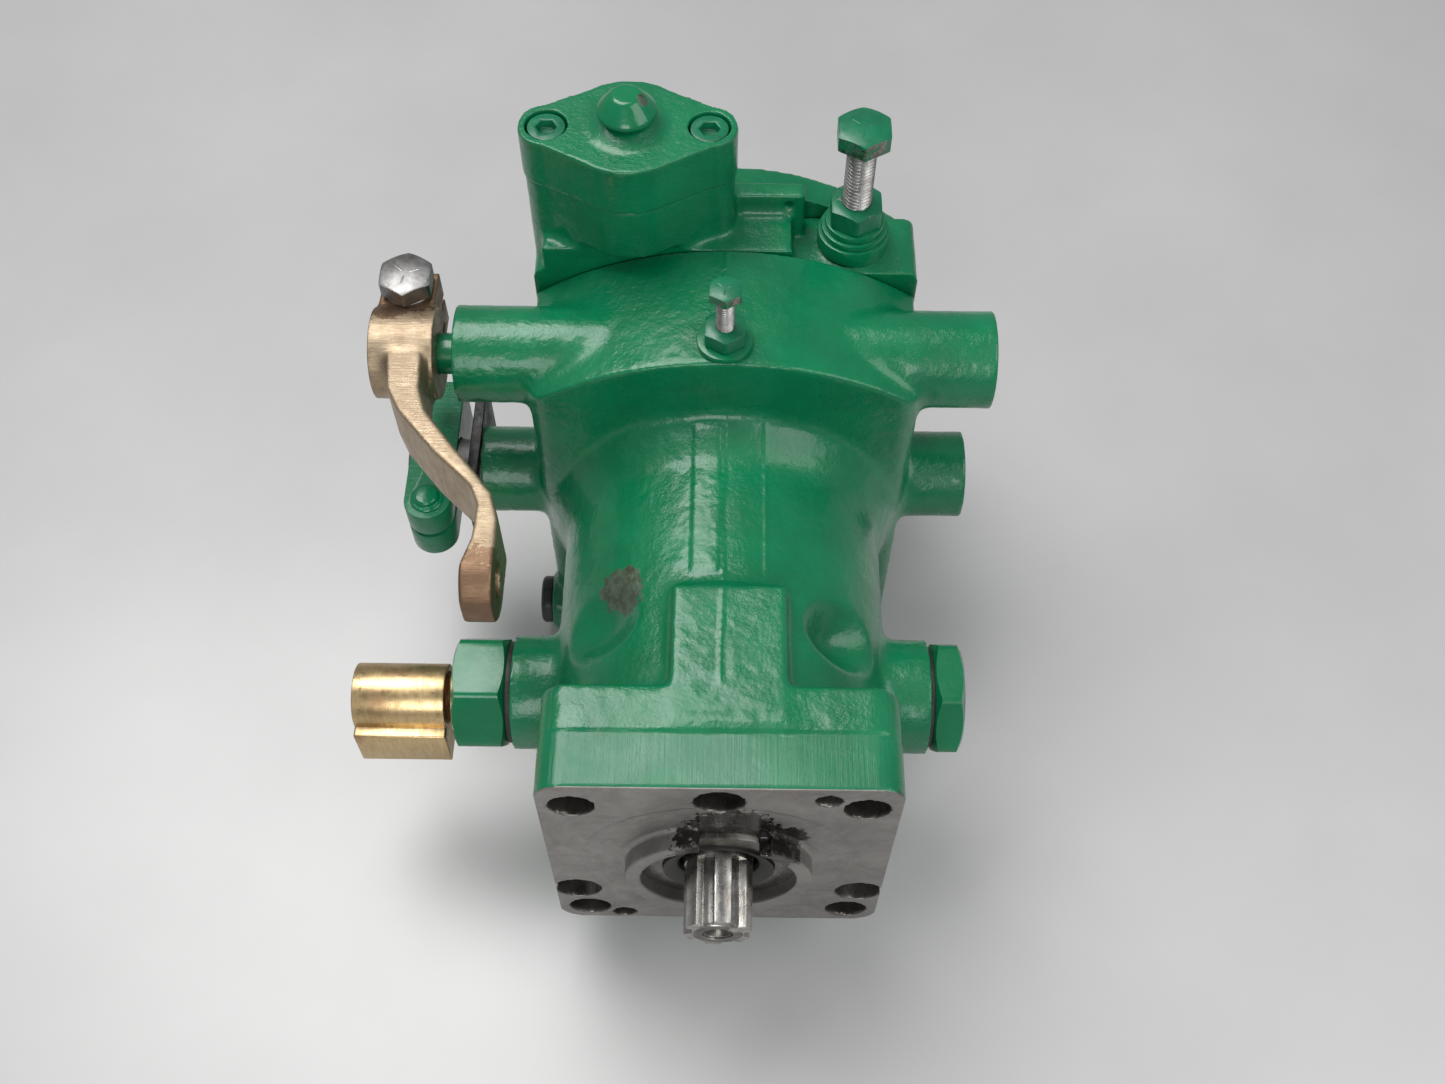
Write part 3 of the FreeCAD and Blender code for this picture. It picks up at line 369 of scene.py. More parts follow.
@dataclass(frozen=True)
class WorkedMetal:
    """Bare metal with directional tool marks, patina and grime."""

    name: str
    light: Colour
    dark: Colour
    patina: Colour
    grain: Point = (1.0, 1.0, 1.0)
    gloss: float = 0.32
    stain: float = 0.35
    marks: float = 0.5
    metal: float = 1.0
    stained: tuple[tuple[Point, float], ...] = ()

    def build(self) -> bpy.types.Material:
        """Make the material.

        Returns:
            The material.
        """
        graph = Graph(self.name)
        lines = graph.noise(320.0, 6.0, 0.75, graph.stretched(self.grain))
        cloud = graph.noise(75.0, 6.0, 0.65, warp=0.7)
        tone = graph.ramp(lines, [(0.3, self.dark), (0.68, self.light)])
        tone = graph.mix(graph.ramp(cloud, [(0.5, 0.0), (0.78, self.stain * 2.0)]), tone, self.patina)
        if self.stained:
            tone = graph.mix(graph.math("MULTIPLY", graph.near(self.stained, 0.9), 0.75), tone, self.patina)
        rough = graph.ramp(graph.noise(210.0, 5.0, 0.7), [(0.3, self.gloss - 0.1), (0.75, self.gloss + 0.18)])
        normal = graph.bump(lines, self.marks, 0.00022)
        normal = graph.bump(graph.noise(900.0, 4.0, 0.6), 0.2, 0.00008, normal)
        return graph.finish(Base_Color=tone, Roughness=rough, Metallic=self.metal, Normal=normal)


@dataclass(frozen=True)
class PaintedSteel:
    """Steel fastener sprayed green, worn through to the metal in places."""

    name: str
    cover: float = 0.6
    green: Colour = (0.004, 0.16, 0.07)
    steel: Colour = (0.5, 0.5, 0.48)
    dirt: Colour = (0.12, 0.1, 0.07)

    def build(self) -> bpy.types.Material:
        """Make the material.

        Returns:
            The material.
        """
        graph = Graph(self.name)
        patch = graph.noise(230.0, 5.0, 0.65, warp=0.9)
        bare = graph.ramp(patch, [(self.cover - 0.03, 0.0), (self.cover + 0.03, 1.0)])
        steel = graph.ramp(graph.noise(500.0, 5.0, 0.7), [(0.35, self.dirt), (0.6, self.steel)])
        paint = graph.ramp(graph.noise(120.0, 5.0, 0.6), [(0.3, (0.002, 0.1, 0.045)), (0.7, self.green)])
        tone = graph.mix(bare, paint, steel)
        rough = graph.ramp(graph.noise(300.0, 4.0, 0.6), [(0.3, 0.2), (0.7, 0.42)])
        normal = graph.bump(bare, 0.35, 0.00012)
        normal = graph.bump(graph.noise(700.0, 5.0, 0.65), 0.3, 0.00012, normal)
        return graph.finish(Base_Color=tone, Roughness=rough, Metallic=bare, Normal=normal)


@dataclass(frozen=True)
class DullMatter:
    """Rubber, gasket sheet or moulded plastic."""

    name: str
    light: Colour
    dark: Colour
    gloss: float = 0.55

    def build(self) -> bpy.types.Material:
        """Make the material.

        Returns:
            The material.
        """
        graph = Graph(self.name)
        tone = graph.ramp(graph.noise(180.0, 6.0, 0.7), [(0.35, self.dark), (0.7, self.light)])
        rough = graph.ramp(graph.noise(90.0, 4.0, 0.6), [(0.3, self.gloss - 0.12), (0.75, self.gloss + 0.15)])
        normal = graph.bump(graph.noise(800.0, 4.0, 0.6), 0.3, 0.00012)
        return graph.finish(Base_Color=tone, Roughness=rough, Normal=normal)


# ------------------------------------------------------------------ mesh helpers


def into_scene(name: str, mesh: bpy.types.Mesh) -> bpy.types.Object:
    """Make an object of a mesh and link it.

    Args:
        name: the object's name.
        mesh: its mesh.

    Returns:
        The new object.
    """
    thing = bpy.data.objects.new(name, mesh)
    bpy.context.scene.collection.objects.link(thing)
    return thing


def new_piece(name: str, vertices: np.ndarray, faces: Iterable[Sequence[int]]) -> bpy.types.Object:
    """Put a mesh into the scene.

    Args:
        name: the piece's name.
        vertices: positions in metres.
        faces: vertex indices of each face.

    Returns:
        The new object.
    """
    mesh = bpy.data.meshes.new(name)
    mesh.from_pydata([tuple(v) for v in vertices], [], [tuple(int(i) for i in f) for f in faces])
    mesh.validate()
    return into_scene(name, mesh)


def weld(thing: bpy.types.Object, distance: float) -> bpy.types.Object:
    """Join a piece's coinciding vertices and turn its faces outward.

    Args:
        thing: the piece.
        distance: how near two vertices have to be, in metres.

    Returns:
        The same piece.
    """
    work = bmesh.new()
    work.from_mesh(thing.data)
    bmesh.ops.remove_doubles(work, verts=work.verts, dist=distance)
    bmesh.ops.recalc_face_normals(work, faces=work.faces)
    work.to_mesh(thing.data)
    work.free()
    return thing


def shade(thing: bpy.types.Object, degrees: float = 40.0) -> bpy.types.Object:
    """Shade smooth, but keep edges sharper than an angle crisp.

    Args:
        thing: the piece.
        degrees: the angle from which an edge stays crisp.

    Returns:
        The same piece.
    """
    thing.data.polygons.foreach_set("use_smooth", [True] * len(thing.data.polygons))
    thing.data.set_sharp_from_angle(angle=math.radians(degrees))
    return thing


def merged(name: str, things: Sequence[bpy.types.Object]) -> bpy.types.Object:
    """Join several objects into one, keeping their material indices.

    Args:
        name: the joined piece's name.
        things: what to join; they are used up.

    Returns:
        The joined object.
    """
    work = bmesh.new()
    for thing in things:
        work.from_mesh(thing.data)
    mesh = bpy.data.meshes.new(name)
    work.to_mesh(mesh)
    work.free()
    for thing in things:
        bpy.data.objects.remove(thing)
    return into_scene(name, mesh)


def revolve(name: str, profile: Sequence[tuple[float, float]], steps: int = 72) -> bpy.types.Object:
    """Spin a closed (radius, height) profile about Z.

    Args:
        name: the piece's name.
        profile: corners in millimetres, going round the section.
        steps: divisions of the turn.

    Returns:
        The new object.
    """
    count = len(profile)
    vertices, faces = [], []
    for k in range(steps):
        turn = 2 * math.pi * k / steps
        for radius, height in profile:
            vertices.append((radius * MM * math.cos(turn), radius * MM * math.sin(turn), height * MM))
    for k in range(steps):
        here = k * count
        beyond = ((k + 1) % steps) * count
        for i in range(count):
            j = (i + 1) % count
            faces.append((here + i, beyond + i, beyond + j, here + j))
    return weld(new_piece(name, np.array(vertices), faces), 1e-7)


HEX_LIP = 0.47          # radius where the end face stops, as a share of the flats
HEX_CORNER = 28.6       # degrees from a flat's middle to where its corner is turned off
HEX_SLOPE = 1.9         # run of the chamfer for each unit of its fall
HEX_BLUNT = 0.25        # broken edge of an end without a chamfer, in millimetres
HEX_AXIS = 0.01         # inner radius of a solid bar, in millimetres
SIXTH = math.pi / 3


def hex_bar(name: str, flats: float, low: float, high: float, bore: float = 0.0,
            chamfer: tuple[bool, bool] = (True, True), steps: int = 96) -> bpy.types.Object:
    """A hexagon with turned chamfers, along Z.

    Args:
        name: the piece's name.
        flats: width across flats in millimetres.
        low: bottom height in millimetres.
        high: top height in millimetres.
        bore: hole radius in millimetres, 0 for none.
        chamfer: whether the bottom and the top are chamfered.
        steps: divisions of the turn.

    Returns:
        The new object.
    """
    lip = HEX_LIP * flats
    inner = bore if bore else HEX_AXIS
    rings = []
    for k in range(steps):
        turn = 2 * math.pi * k / steps
        flat_turn = (turn + math.pi / 6) % SIXTH - math.pi / 6
        reach = 0.5 * flats / math.cos(flat_turn)
        reach = min(reach, 0.5 * flats / math.cos(math.radians(HEX_CORNER)))
        drop = (reach - lip) / HEX_SLOPE
        blunt = reach - HEX_BLUNT
        column = [(inner, high), (lip if chamfer[1] else blunt, high),
                  (reach, high - (drop if chamfer[1] else HEX_BLUNT)),
                  (reach, low + (drop if chamfer[0] else HEX_BLUNT)),
                  (lip if chamfer[0] else blunt, low), (inner, low)]
        rings.append([(radius * MM * math.cos(turn), radius * MM * math.sin(turn), level * MM)
                      for radius, level in column])
    count = len(rings[0])
    faces = []
    for k in range(steps):
        here = k * count
        beyond = ((k + 1) % steps) * count
        for i in range(count if bore else count - 1):
            j = (i + 1) % count
            faces.append((here + i, here + j, beyond + j, beyond + i))
    return weld(new_piece(name, np.array(rings).reshape(-1, 3), faces), 5e-5)


THREAD_STEPS = 40       # divisions of the turn
THREAD_LEVELS = 8       # rows of vertices for each pitch
THREAD_DEPTH = 0.54     # crest to root, as a share of the pitch
CREST_GAIN = 1.25       # how much the crests and roots are flattened
CREST_SHIFT = 0.12


def thread(name: str, radius: float, pitch: float, low: float, high: float) -> bpy.types.Object:
    """A threaded rod along Z, its ends turned down.

    Args:
        name: the piece's name.
        radius: crest radius in millimetres.
        pitch: crest spacing in millimetres.
        low: bottom height in millimetres.
        high: top height in millimetres.

    Returns:
        The new object.
    """
    steps = THREAD_STEPS
    levels = max(THREAD_LEVELS, int((high - low) / pitch * THREAD_LEVELS))
    depth = THREAD_DEPTH * pitch
    vertices, faces = [], []
    for i in range(levels + 1):
        level = low + (high - low) * i / levels
        ends = min(1.0, (level - low) / pitch, (high - level) / (0.3 * pitch) + 0.2)
        for k in range(steps):
            turn = 2 * math.pi * k / steps
            wave = abs(((level / pitch - k / steps) % 1.0) * 2 - 1)
            wave = min(1.0, max(0.0, wave * CREST_GAIN - CREST_SHIFT))
            reach = radius - depth * (1 - wave * max(0.0, ends))
            vertices.append((reach * MM * math.cos(turn), reach * MM * math.sin(turn), level * MM))
    for i in range(levels):
        here = i * steps
        above = (i + 1) * steps
        for k in range(steps):
            beyond = (k + 1) % steps
            faces.append((here + k, here + beyond, above + beyond, above + k))
    faces.append(tuple(range(steps))[::-1])
    faces.append(tuple(levels * steps + k for k in range(steps)))
    return new_piece(name, np.array(vertices), faces)


GRAIN_CELLS = 32        # cells each way before the relief repeats


def grain_at(places: np.ndarray, size: float, seed: int) -> np.ndarray:
    """Smooth random relief at some places.

    Args:
        places: positions in metres.
        size: feature size in metres.
        seed: picks the pattern.

    Returns:
        Values from -1 to 1.
    """
    cells = GRAIN_CELLS
    table = np.random.default_rng(seed).uniform(-1, 1, (cells, cells, cells))
    spot = places / size
    base = np.floor(spot).astype(int)
    part = spot - base
    part = part * part * (3 - 2 * part)
    total = np.zeros(len(places))
    for dx in (0, 1):
        for dy in (0, 1):
            for dz in (0, 1):
                weight = (np.abs(1 - dx - part[:, 0]) * np.abs(1 - dy - part[:, 1])
                          * np.abs(1 - dz - part[:, 2]))
                corner = ((base[:, 0] + dx) % cells, (base[:, 1] + dy) % cells, (base[:, 2] + dz) % cells)
                total += weight * table[corner]
    return total


# ------------------------------------------------------------------ kinds of piece


@dataclass
class EdgedPiece:
    """A machined piece: its frame shape with every sharp edge broken."""

    node: str
    body: str
    slot: Slot
    finish: bpy.types.Material
    edge: float = 0.35
    angle: float = 28.0

    def build(self) -> bpy.types.Object:
        """Copy the frame's shape, break its edges and dress it.

        Returns:
            The dressed piece.
        """
        work = bmesh.new()
        work.from_mesh(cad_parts[self.node].data)
        bmesh.ops.remove_doubles(work, verts=work.verts, dist=2e-6)
        bmesh.ops.dissolve_limit(work, angle_limit=math.radians(0.6), verts=work.verts, edges=work.edges)
        sharp = [e for e in work.edges if len(e.link_faces) == 2
                 and e.calc_face_angle(0.0) > math.radians(self.angle) and e.calc_length() > 1e-5]
        bmesh.ops.bevel(work, geom=sharp, offset=self.edge * MM, offset_type="OFFSET", segments=2,
                        profile=0.6, affect="EDGES", clamp_overlap=True)
        for face in work.faces:
            face.material_index = 0
        mesh = bpy.data.meshes.new(self.node + "_piece")
        work.to_mesh(mesh)
        work.free()
        thing = into_scene(self.node + "_piece", mesh)
        mesh.materials.append(self.finish)
        return settle(shade(thing, 32.0), self.body, self.slot, self.node)


def settle(thing: bpy.types.Object, body: str, slot: Slot, *nodes: str) -> bpy.types.Object:
    """Tie a finished piece to its body and hide the frame nodes it stands for.

    Args:
        thing: the piece.
        body: the body it rides on.
        slot: its material slot; not used.
        *nodes: the frame nodes it stands for.

    Returns:
        The piece.
    """
    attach(thing, body)
    if nodes:
        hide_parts(*nodes)
    LOG.info("%s: %d faces on %s", thing.name, len(thing.data.polygons), body)
    return thing


def nowhere(places: np.ndarray) -> np.ndarray:
    """The crisp zone of a piece that is cast all over."""
    return np.zeros(len(places), bool)


@dataclass
class CastPiece:
    """A casting: the frame shape with rounded corners, fillets and a sand-cast skin."""

    node: str
    body: str
    slot: Slot
    finishes: list[bpy.types.Material]
    pitch: float = 0.9
    rounds: int = 14
    fills: int = 40
    skin: float = 0.14
    crisp: Callable[[np.ndarray], np.ndarray] = nowhere
    dent: Optional[Callable[[np.ndarray], np.ndarray]] = None
    shape: Optional[Callable[[np.ndarray, np.ndarray], np.ndarray]] = None
    paint: Optional[Callable[[np.ndarray, np.ndarray], np.ndarray]] = None

    coarse_grain: float = 0.0042
    fine_grain: float = 0.0019

    def build(self) -> bpy.types.Object:
        """Remesh the frame's shape, smooth it where it is cast and dress it.

        Returns:
            The dressed piece.
        """
        mesh = self.remeshed()
        self.mould(mesh)
        thing = into_scene(self.node + "_piece", mesh)
        self.dress(mesh)
        return settle(thing, self.body, self.slot, self.node)

    def remeshed(self) -> bpy.types.Mesh:
        """Copy the frame's shape into an even mesh.

        Returns:
            The new mesh, without materials.
        """
        source = into_scene("cast_source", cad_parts[self.node].data.copy())
        remesh = source.modifiers.new("remesh", "REMESH")
        remesh.mode = "VOXEL"
        remesh.voxel_size = self.pitch * MM
        depsgraph = bpy.context.evaluated_depsgraph_get()
        mesh = bpy.data.meshes.new_from_object(source.evaluated_get(depsgraph))
        bpy.data.objects.remove(source)
        mesh.name = self.node + "_piece"
        mesh.materials.clear()
        return mesh

    def mould(self, mesh: bpy.types.Mesh) -> None:
        """Dent, smooth and roughen the mesh where it is cast.

        Args:
            mesh: the even mesh.
        """
        places = self.positions(mesh)
        edges = np.zeros(len(mesh.edges) * 2, np.int64)
        mesh.edges.foreach_get("vertices", edges)
        cast = np.where(self.crisp(places), 0.0, 1.0)
        if self.dent is not None:
            places = places + self.dent(places) * MM
        places = self.smoothed(mesh, places, edges.reshape(-1, 2), cast)
        self.set_positions(mesh, places)
        normals = self.normals(mesh)
        if self.shape is not None:
            places = places + self.shape(places, normals) * MM
        relief = 0.6 * grain_at(places, self.coarse_grain, 3) + 0.4 * grain_at(places, self.fine_grain, 5)
        places = places + normals * (self.skin * MM * (relief - 0.35) * cast)[:, None]
        self.set_positions(mesh, places)

    def dress(self, mesh: bpy.types.Mesh) -> None:
        """Give the mesh its finishes, each face by its place.

        Args:
            mesh: the moulded mesh.
        """
        for finish in self.finishes:
            mesh.materials.append(finish)
        if self.paint is not None:
            centres = np.zeros(len(mesh.polygons) * 3)
            facing = np.zeros(len(mesh.polygons) * 3)
            mesh.polygons.foreach_get("center", centres)
            mesh.polygons.foreach_get("normal", facing)
            index = self.paint(centres.reshape(-1, 3) / MM, facing.reshape(-1, 3))
            mesh.polygons.foreach_set("material_index", index.astype(np.int32))
        mesh.polygons.foreach_set("use_smooth", [True] * len(mesh.polygons))
        mesh.update()

    def smoothed(self, mesh: bpy.types.Mesh, places: np.ndarray, edges: np.ndarray,
                 weight: np.ndarray) -> np.ndarray:
        """Relax vertices towards their neighbours, then only fill the inner corners.

        Args:
            mesh: the mesh the vertices belong to.
            places: positions.
            edges: pairs of vertex indices.
            weight: 1 where a vertex is free, 0 where it is held.

        Returns:
            The relaxed positions.
        """
        count = len(places)
        first, last = edges[:, 0], edges[:, 1]
        degree = np.bincount(edges.ravel(), minlength=count)[:, None]
        soft = weight.copy()
        for _ in range(3):
            near = np.bincount(first, soft[last], count) + np.bincount(last, soft[first], count)
            soft = np.minimum(weight, near / degree[:, 0])
        for turn in range(self.rounds + self.fills):
            total = np.stack([np.bincount(first, places[last, axis.value], count)
                              + np.bincount(last, places[first, axis.value], count) for axis in Axis], axis=1)
            step = 0.5 * soft[:, None] * (total / degree - places)
            if turn >= self.rounds:
                if (turn - self.rounds) % 10 == 0:
                    self.set_positions(mesh, places)
                    outward = self.normals(mesh)
                step *= np.where((step * outward).sum(axis=1) > 0, 1.0, 0.06)[:, None]
            places = places + step
        return places

    @staticmethod
    def normals(mesh: bpy.types.Mesh) -> np.ndarray:
        """The mesh's vertex normals.

        Args:
            mesh: the mesh.

        Returns:
            One row for each vertex.
        """
        flat = np.zeros(len(mesh.vertices) * 3)
        mesh.vertices.foreach_get("normal", flat)
        return flat.reshape(-1, 3)

    @staticmethod
    def positions(mesh: bpy.types.Mesh) -> np.ndarray:
        """The mesh's vertex positions.

        Args:
            mesh: the mesh.

        Returns:
            One row for each vertex, in metres.
        """
        flat = np.zeros(len(mesh.vertices) * 3)
        mesh.vertices.foreach_get("co", flat)
        return flat.reshape(-1, 3)

    @staticmethod
    def set_positions(mesh: bpy.types.Mesh, places: np.ndarray) -> None:
        """Move the mesh's vertices."""
        mesh.vertices.foreach_set("co", places.ravel())
        mesh.update()


# ------------------------------------------------------------------ sub-assemblies


@dataclass
class Palette:
    """Every finish of the pump, built once."""

    cast: bpy.types.Material = field(init=False)
    machined: bpy.types.Material = field(init=False)
    milled: bpy.types.Material = field(init=False)
    pad: bpy.types.Material = field(init=False)
    face: bpy.types.Material = field(init=False)
    bore: bpy.types.Material = field(init=False)
    shaft: bpy.types.Material = field(init=False)
    bolt: bpy.types.Material = field(init=False)
    rubbed_and_shaded: bpy.types.Material = field(init=False)
    thread: bpy.types.Material = field(init=False)
    zinc: bpy.types.Material = field(init=False)
    dark: bpy.types.Material = field(init=False)
    bronze: bpy.types.Material = field(init=False)
    brass: bpy.types.Material = field(init=False)
    rubber: bpy.types.Material = field(init=False)
    paper: bpy.types.Material = field(init=False)
    plastic: bpy.types.Material = field(init=False)
    stub: bpy.types.Material = field(init=False)

    def __post_init__(self) -> None:
        """Build the finishes."""
        worn = (((0.0885, 0.155, 0.05), 0.0075), ((-0.036, 0.073, 0.049), 0.0105),
                ((-0.066, 0.20, 0.078), 0.002), ((0.052, 0.0, 0.054), 0.0022))
        chipped = (((-0.0265, 0.1955, 0.1418), 0.0022), ((0.0815, 0.045, -0.012), 0.0028))
        greasy = (((0.004, -0.004, 0.027), 0.015), ((-0.006, -0.002, 0.022), 0.009),
                  ((0.02, -0.003, 0.022), 0.008))
        handled = (((-0.075, 0.058, 0.07), 0.014), ((-0.108, 0.174, 0.07), 0.016),
                   ((-0.113, 0.165, 0.08), 0.008))
        self.cast = GreenPaint("green over casting", 0.5, worn=worn).build()
        self.machined = GreenPaint("green over turned steel", 0.16, 0.2, worn=chipped).build()
        self.milled = GreenPaint("green over milling", 0.3, 0.3, streaks=(0.1, 4.0, 1.0), cut=0.0007).build()
        self.pad = GreenPaint("green over milled pad", 0.3, 0.34, streaks=(2.4, 0.06, 1.0),
                              cut=0.0004).build()
        self.face = TurnedIron("turned flange face", light=(0.3, 0.285, 0.27), dark=(0.19, 0.178, 0.168),
                               gloss=0.42, grease=greasy).build()
        # A darker copy of the turned flange iron, put on the hole walls, the inner bores, the shaft's centre
        # hole and the seal carrier.
        self.bore = TurnedIron("darker iron in bores", light=(0.2, 0.19, 0.17), dark=(0.05, 0.045, 0.04),
                               gloss=0.3).build()
        self.shaft = WorkedMetal("greasy shaft steel", (0.5, 0.49, 0.46), (0.24, 0.22, 0.2),
                                 (0.05, 0.035, 0.02), (1.0, 0.15, 1.0), 0.26, 0.4, 0.3).build()
        self.bolt = PaintedSteel("fastener paint", 0.68).build()
        # Side flats of the screw heads: paint rubbed through to the steel (real wear), and that steel made
        # darker than on the tops as painted shade.
        self.rubbed_and_shaded = PaintedSteel("rubbed flats", 0.5, steel=(0.3, 0.29, 0.27)).build()
        self.thread = WorkedMetal("bolt thread", (0.45, 0.45, 0.43), (0.27, 0.26, 0.25), (0.14, 0.1, 0.065),
                                  gloss=0.38, stain=0.3, marks=0.2).build()
        self.zinc = WorkedMetal("plated steel", (0.31, 0.305, 0.3), (0.2, 0.195, 0.19), (0.14, 0.115, 0.08),
                                gloss=0.4, stain=0.25, marks=0.35).build()
        self.dark = WorkedMetal("dark rolled steel", (0.1, 0.1, 0.1), (0.03, 0.03, 0.03), (0.07, 0.05, 0.04),
                                gloss=0.4, marks=0.3).build()
        self.bronze = WorkedMetal("filed bronze", (0.46, 0.365, 0.25), (0.29, 0.215, 0.14),
                                  (0.15, 0.075, 0.04), (0.4, 4.5, 0.2), 0.42, 0.2, 0.7, 0.9,
                                  stained=handled).build()
        self.brass = WorkedMetal("turned brass", (0.66, 0.5, 0.27), (0.5, 0.35, 0.17), (0.36, 0.17, 0.09),
                                 (3.0, 0.4, 0.4), 0.32, 0.4, 0.2).build()
        self.rubber = DullMatter("seal rubber", (0.035, 0.033, 0.03), (0.012, 0.011, 0.01)).build()
        self.paper = DullMatter("gasket sheet", (0.03, 0.12, 0.07), (0.02, 0.05, 0.035), 0.6).build()
        self.plastic = DullMatter("black plug", (0.03, 0.03, 0.03), (0.012, 0.012, 0.013), 0.4).build()
        self.stub = WorkedMetal("rusty thread", (0.3, 0.17, 0.09), (0.13, 0.07, 0.04), (0.06, 0.03, 0.02),
                                (6.0, 1.0, 1.0), 0.5, 0.4, 0.6).build()


@dataclass
class Castings:
    """The housing, the rear block with its servo tower, the cover and the servo cap.

    Sizes down to the pockets are in millimetres, the joints and seats after them in metres.
    """

    palette: Palette
    pad_depth: float = 17.8
    pad_level: float = 58.5
    step_radius: float = 44.25
    bolt_side: float = 44.2
    holes: tuple[tuple[float, float, float], ...] = (
        (0.0, 48.0, 7.75), (-47.2, -26.5, 7.75), (47.2, -26.5, 7.75), (32.5, 50.0, 4.0), (-32.5, -50.0, 4.0))
    pocket_side: float = 40.0
    pocket_height: float = 41.0
    pockets_cut: tuple[tuple[int, float, float], ...] = ((1, 10.5, 61.0), (-1, 7.0, 64.0))
    block_joint: float = 0.1835
    block_back: float = 0.209
    tower_foot: float = 0.085
    tower_top: float = 0.1105
    cover_joint: float = 0.2105
    cap_joint: float = 0.1125
    cap_side: float = 0.032
    cap_screws: float = 0.02625
    cap_seat: float = 0.0075

    def pockets(self, places: np.ndarray) -> np.ndarray:
        """The two dished pockets beside the rib.

        Args:
            places: vertex positions in metres.

        Returns:
            How far each vertex moves, in millimetres.
        """
        x, y, z = (places / MM).T
        move = np.zeros_like(places)
        outward = np.stack([x, np.zeros_like(x), z], axis=1)
        outward /= np.maximum(np.linalg.norm(outward, axis=1), 1e-6)[:, None]
        for side, depth, station in self.pockets_cut:
            gap = ((x - side * self.pocket_side) / 17.0) ** 2 + ((y - station) / 12.5) ** 2 \
                + ((z - self.pocket_height) / 19.0) ** 2
            dent = np.clip(1 - gap, 0, 1) ** 1.5 * (np.hypot(x, z) > 51)
            move -= outward * (depth * dent)[:, None]
        return move

    def relief(self, places: np.ndarray, normals: np.ndarray) -> np.ndarray:
        """Parting line, raised strips and the stepped shelf of the housing.

        Args:
            places: vertex positions in metres.
            normals: vertex normals.

        Returns:
            How far each vertex moves, in millimetres.
        """
        x, y, z = (places / MM).T
        move = np.zeros_like(places)
        outside = (np.hypot(x, z) > 50) | (z > 50)
        crown = (z > 40) & (y > 34) & (y < 182) & outside
        seam = np.clip(1 - np.abs(x - 0.3 * np.sin(y / 9)) / 0.9, 0, 1) * crown
        move[:, 2] += 0.5 * seam * (0.75 + 0.25 * np.sin(y * 2.1))
        strip = np.clip((5 - np.abs(x + 5.5)) / 0.8, 0, 1) * np.clip((y - 74) / 3, 0, 1) \
            * np.clip((131 - y) / 3, 0, 1)
        move[:, 2] += 0.55 * strip * crown
        faint = np.clip(1 - np.abs(x - 14) / 0.9, 0, 1) * np.clip((y - 74) / 3, 0, 1) * (y < 131)
        move[:, 2] += 0.35 * faint * crown
        shelf = (z > self.pad_level - 1.5) & (y > self.pad_depth) & (y < 75) & (normals[:, 2] > 0.6)
        move[:, 2] += 0.5 * shelf * np.clip((y - self.pad_depth) / 0.9, 0, 1)
        ring = np.hypot(x, z)
        recess = (y < 0.7) & (ring < self.step_radius) & (ring > 30.8) & (normals[:, 1] < -0.5)
        move[:, 1] += 0.22 * recess
        return move

    def crisp_housing(self, places: np.ndarray) -> np.ndarray:
        """Where the housing is machined and stays crisp.

        Args:
            places: vertex positions in metres.

        Returns:
            True for each vertex that is held.
        """
        x, y, z = (places / MM).T
        flange = y < self.pad_depth
        ends = (np.abs(x) > 87.5) | ((np.abs(x) > 69) & (y < 85))
        bores = (np.hypot(x, z) < 49) & (np.abs(x) < 50)
        joint = y > 181.5
        return flange | ends | bores | joint

    def crisp_block(self, places: np.ndarray) -> np.ndarray:
        """Where the rear block is machined: its joint, its back face and the tower's top."""
        depth, level = places[:, 1], places[:, 2]
        return (depth < self.block_joint) | ((depth > self.block_back) & (level < self.tower_foot)) \
            | (level > self.tower_top)

    def crisp_cover(self, places: np.ndarray) -> np.ndarray:
        """Where the rear cover is machined: its joint."""
        return places[:, 1] < self.cover_joint

    def crisp_cap(self, places: np.ndarray) -> np.ndarray:
        """Where the servo cap is machined: its joint and the seats of its screws."""
        seats = np.abs(np.abs(places[:, 0] + self.cap_side) - self.cap_screws) < self.cap_seat
        return (places[:, 2] < self.cap_joint) | seats

    def dress_housing(self, centres: np.ndarray, facing: np.ndarray) -> np.ndarray:
        """Which finish each face of the housing takes.

        Args:
            centres: face centres in millimetres.
            facing: face normals.

        Returns:
            The index of each face's finish.
        """
        x, y, z = centres.T
        index = np.zeros(len(centres))
        index[(y < self.pad_depth) & (z > self.pad_level - 1.0) & (facing[:, 2] > 0.5)] = 3
        index[(y < 0.9) & (facing[:, 1] < -0.3)] = 1
        index[(y < 0.6) & (np.hypot(x, z) < 32)] = 1
        corners = [(i * self.bolt_side, k * self.bolt_side, 7.0) for i in (-1, 1) for k in (-1, 1)]
        # The walls of the bolt and dowel holes, and the inward faces of the bores, take the darker iron.
        for side, level, radius in (*self.holes, *corners):
            wall = (np.hypot(x - side, z - level) < radius + 0.75) & (y < 35.5) & (facing[:, 1] > -0.75)
            index[wall] = 2
        index[(np.hypot(x, z) < 52) & (y < 130) & (np.abs(x) < 52) & (y > 0.45)
              & (x * facing[:, 0] + z * facing[:, 2] < 0)] = 2
        return index

    def build(self) -> None:
        """Make the four castings."""
        looks = self.palette
        CastPiece("housing", "housing_group", Slot.GREEN_CAST,
                  [looks.cast, looks.face, looks.bore, looks.pad], 0.7, 12, 60, 0.14,
                  self.crisp_housing, self.pockets, self.relief, self.dress_housing).build()
        CastPiece("rear_block", "housing_group", Slot.GREEN_CAST, [looks.cast], 0.8, 6, 16, 0.12,
                  self.crisp_block).build()
        CastPiece("rear_cover", "housing_group", Slot.GREEN_CAST, [looks.cast], 1.0, 6, 10, 0.12,
                  self.crisp_cover).build()
        CastPiece("servo_cap", "housing_group", Slot.GREEN_CAST, [looks.cast], 0.5, 6, 14, 0.06,
                  self.crisp_cap).build()


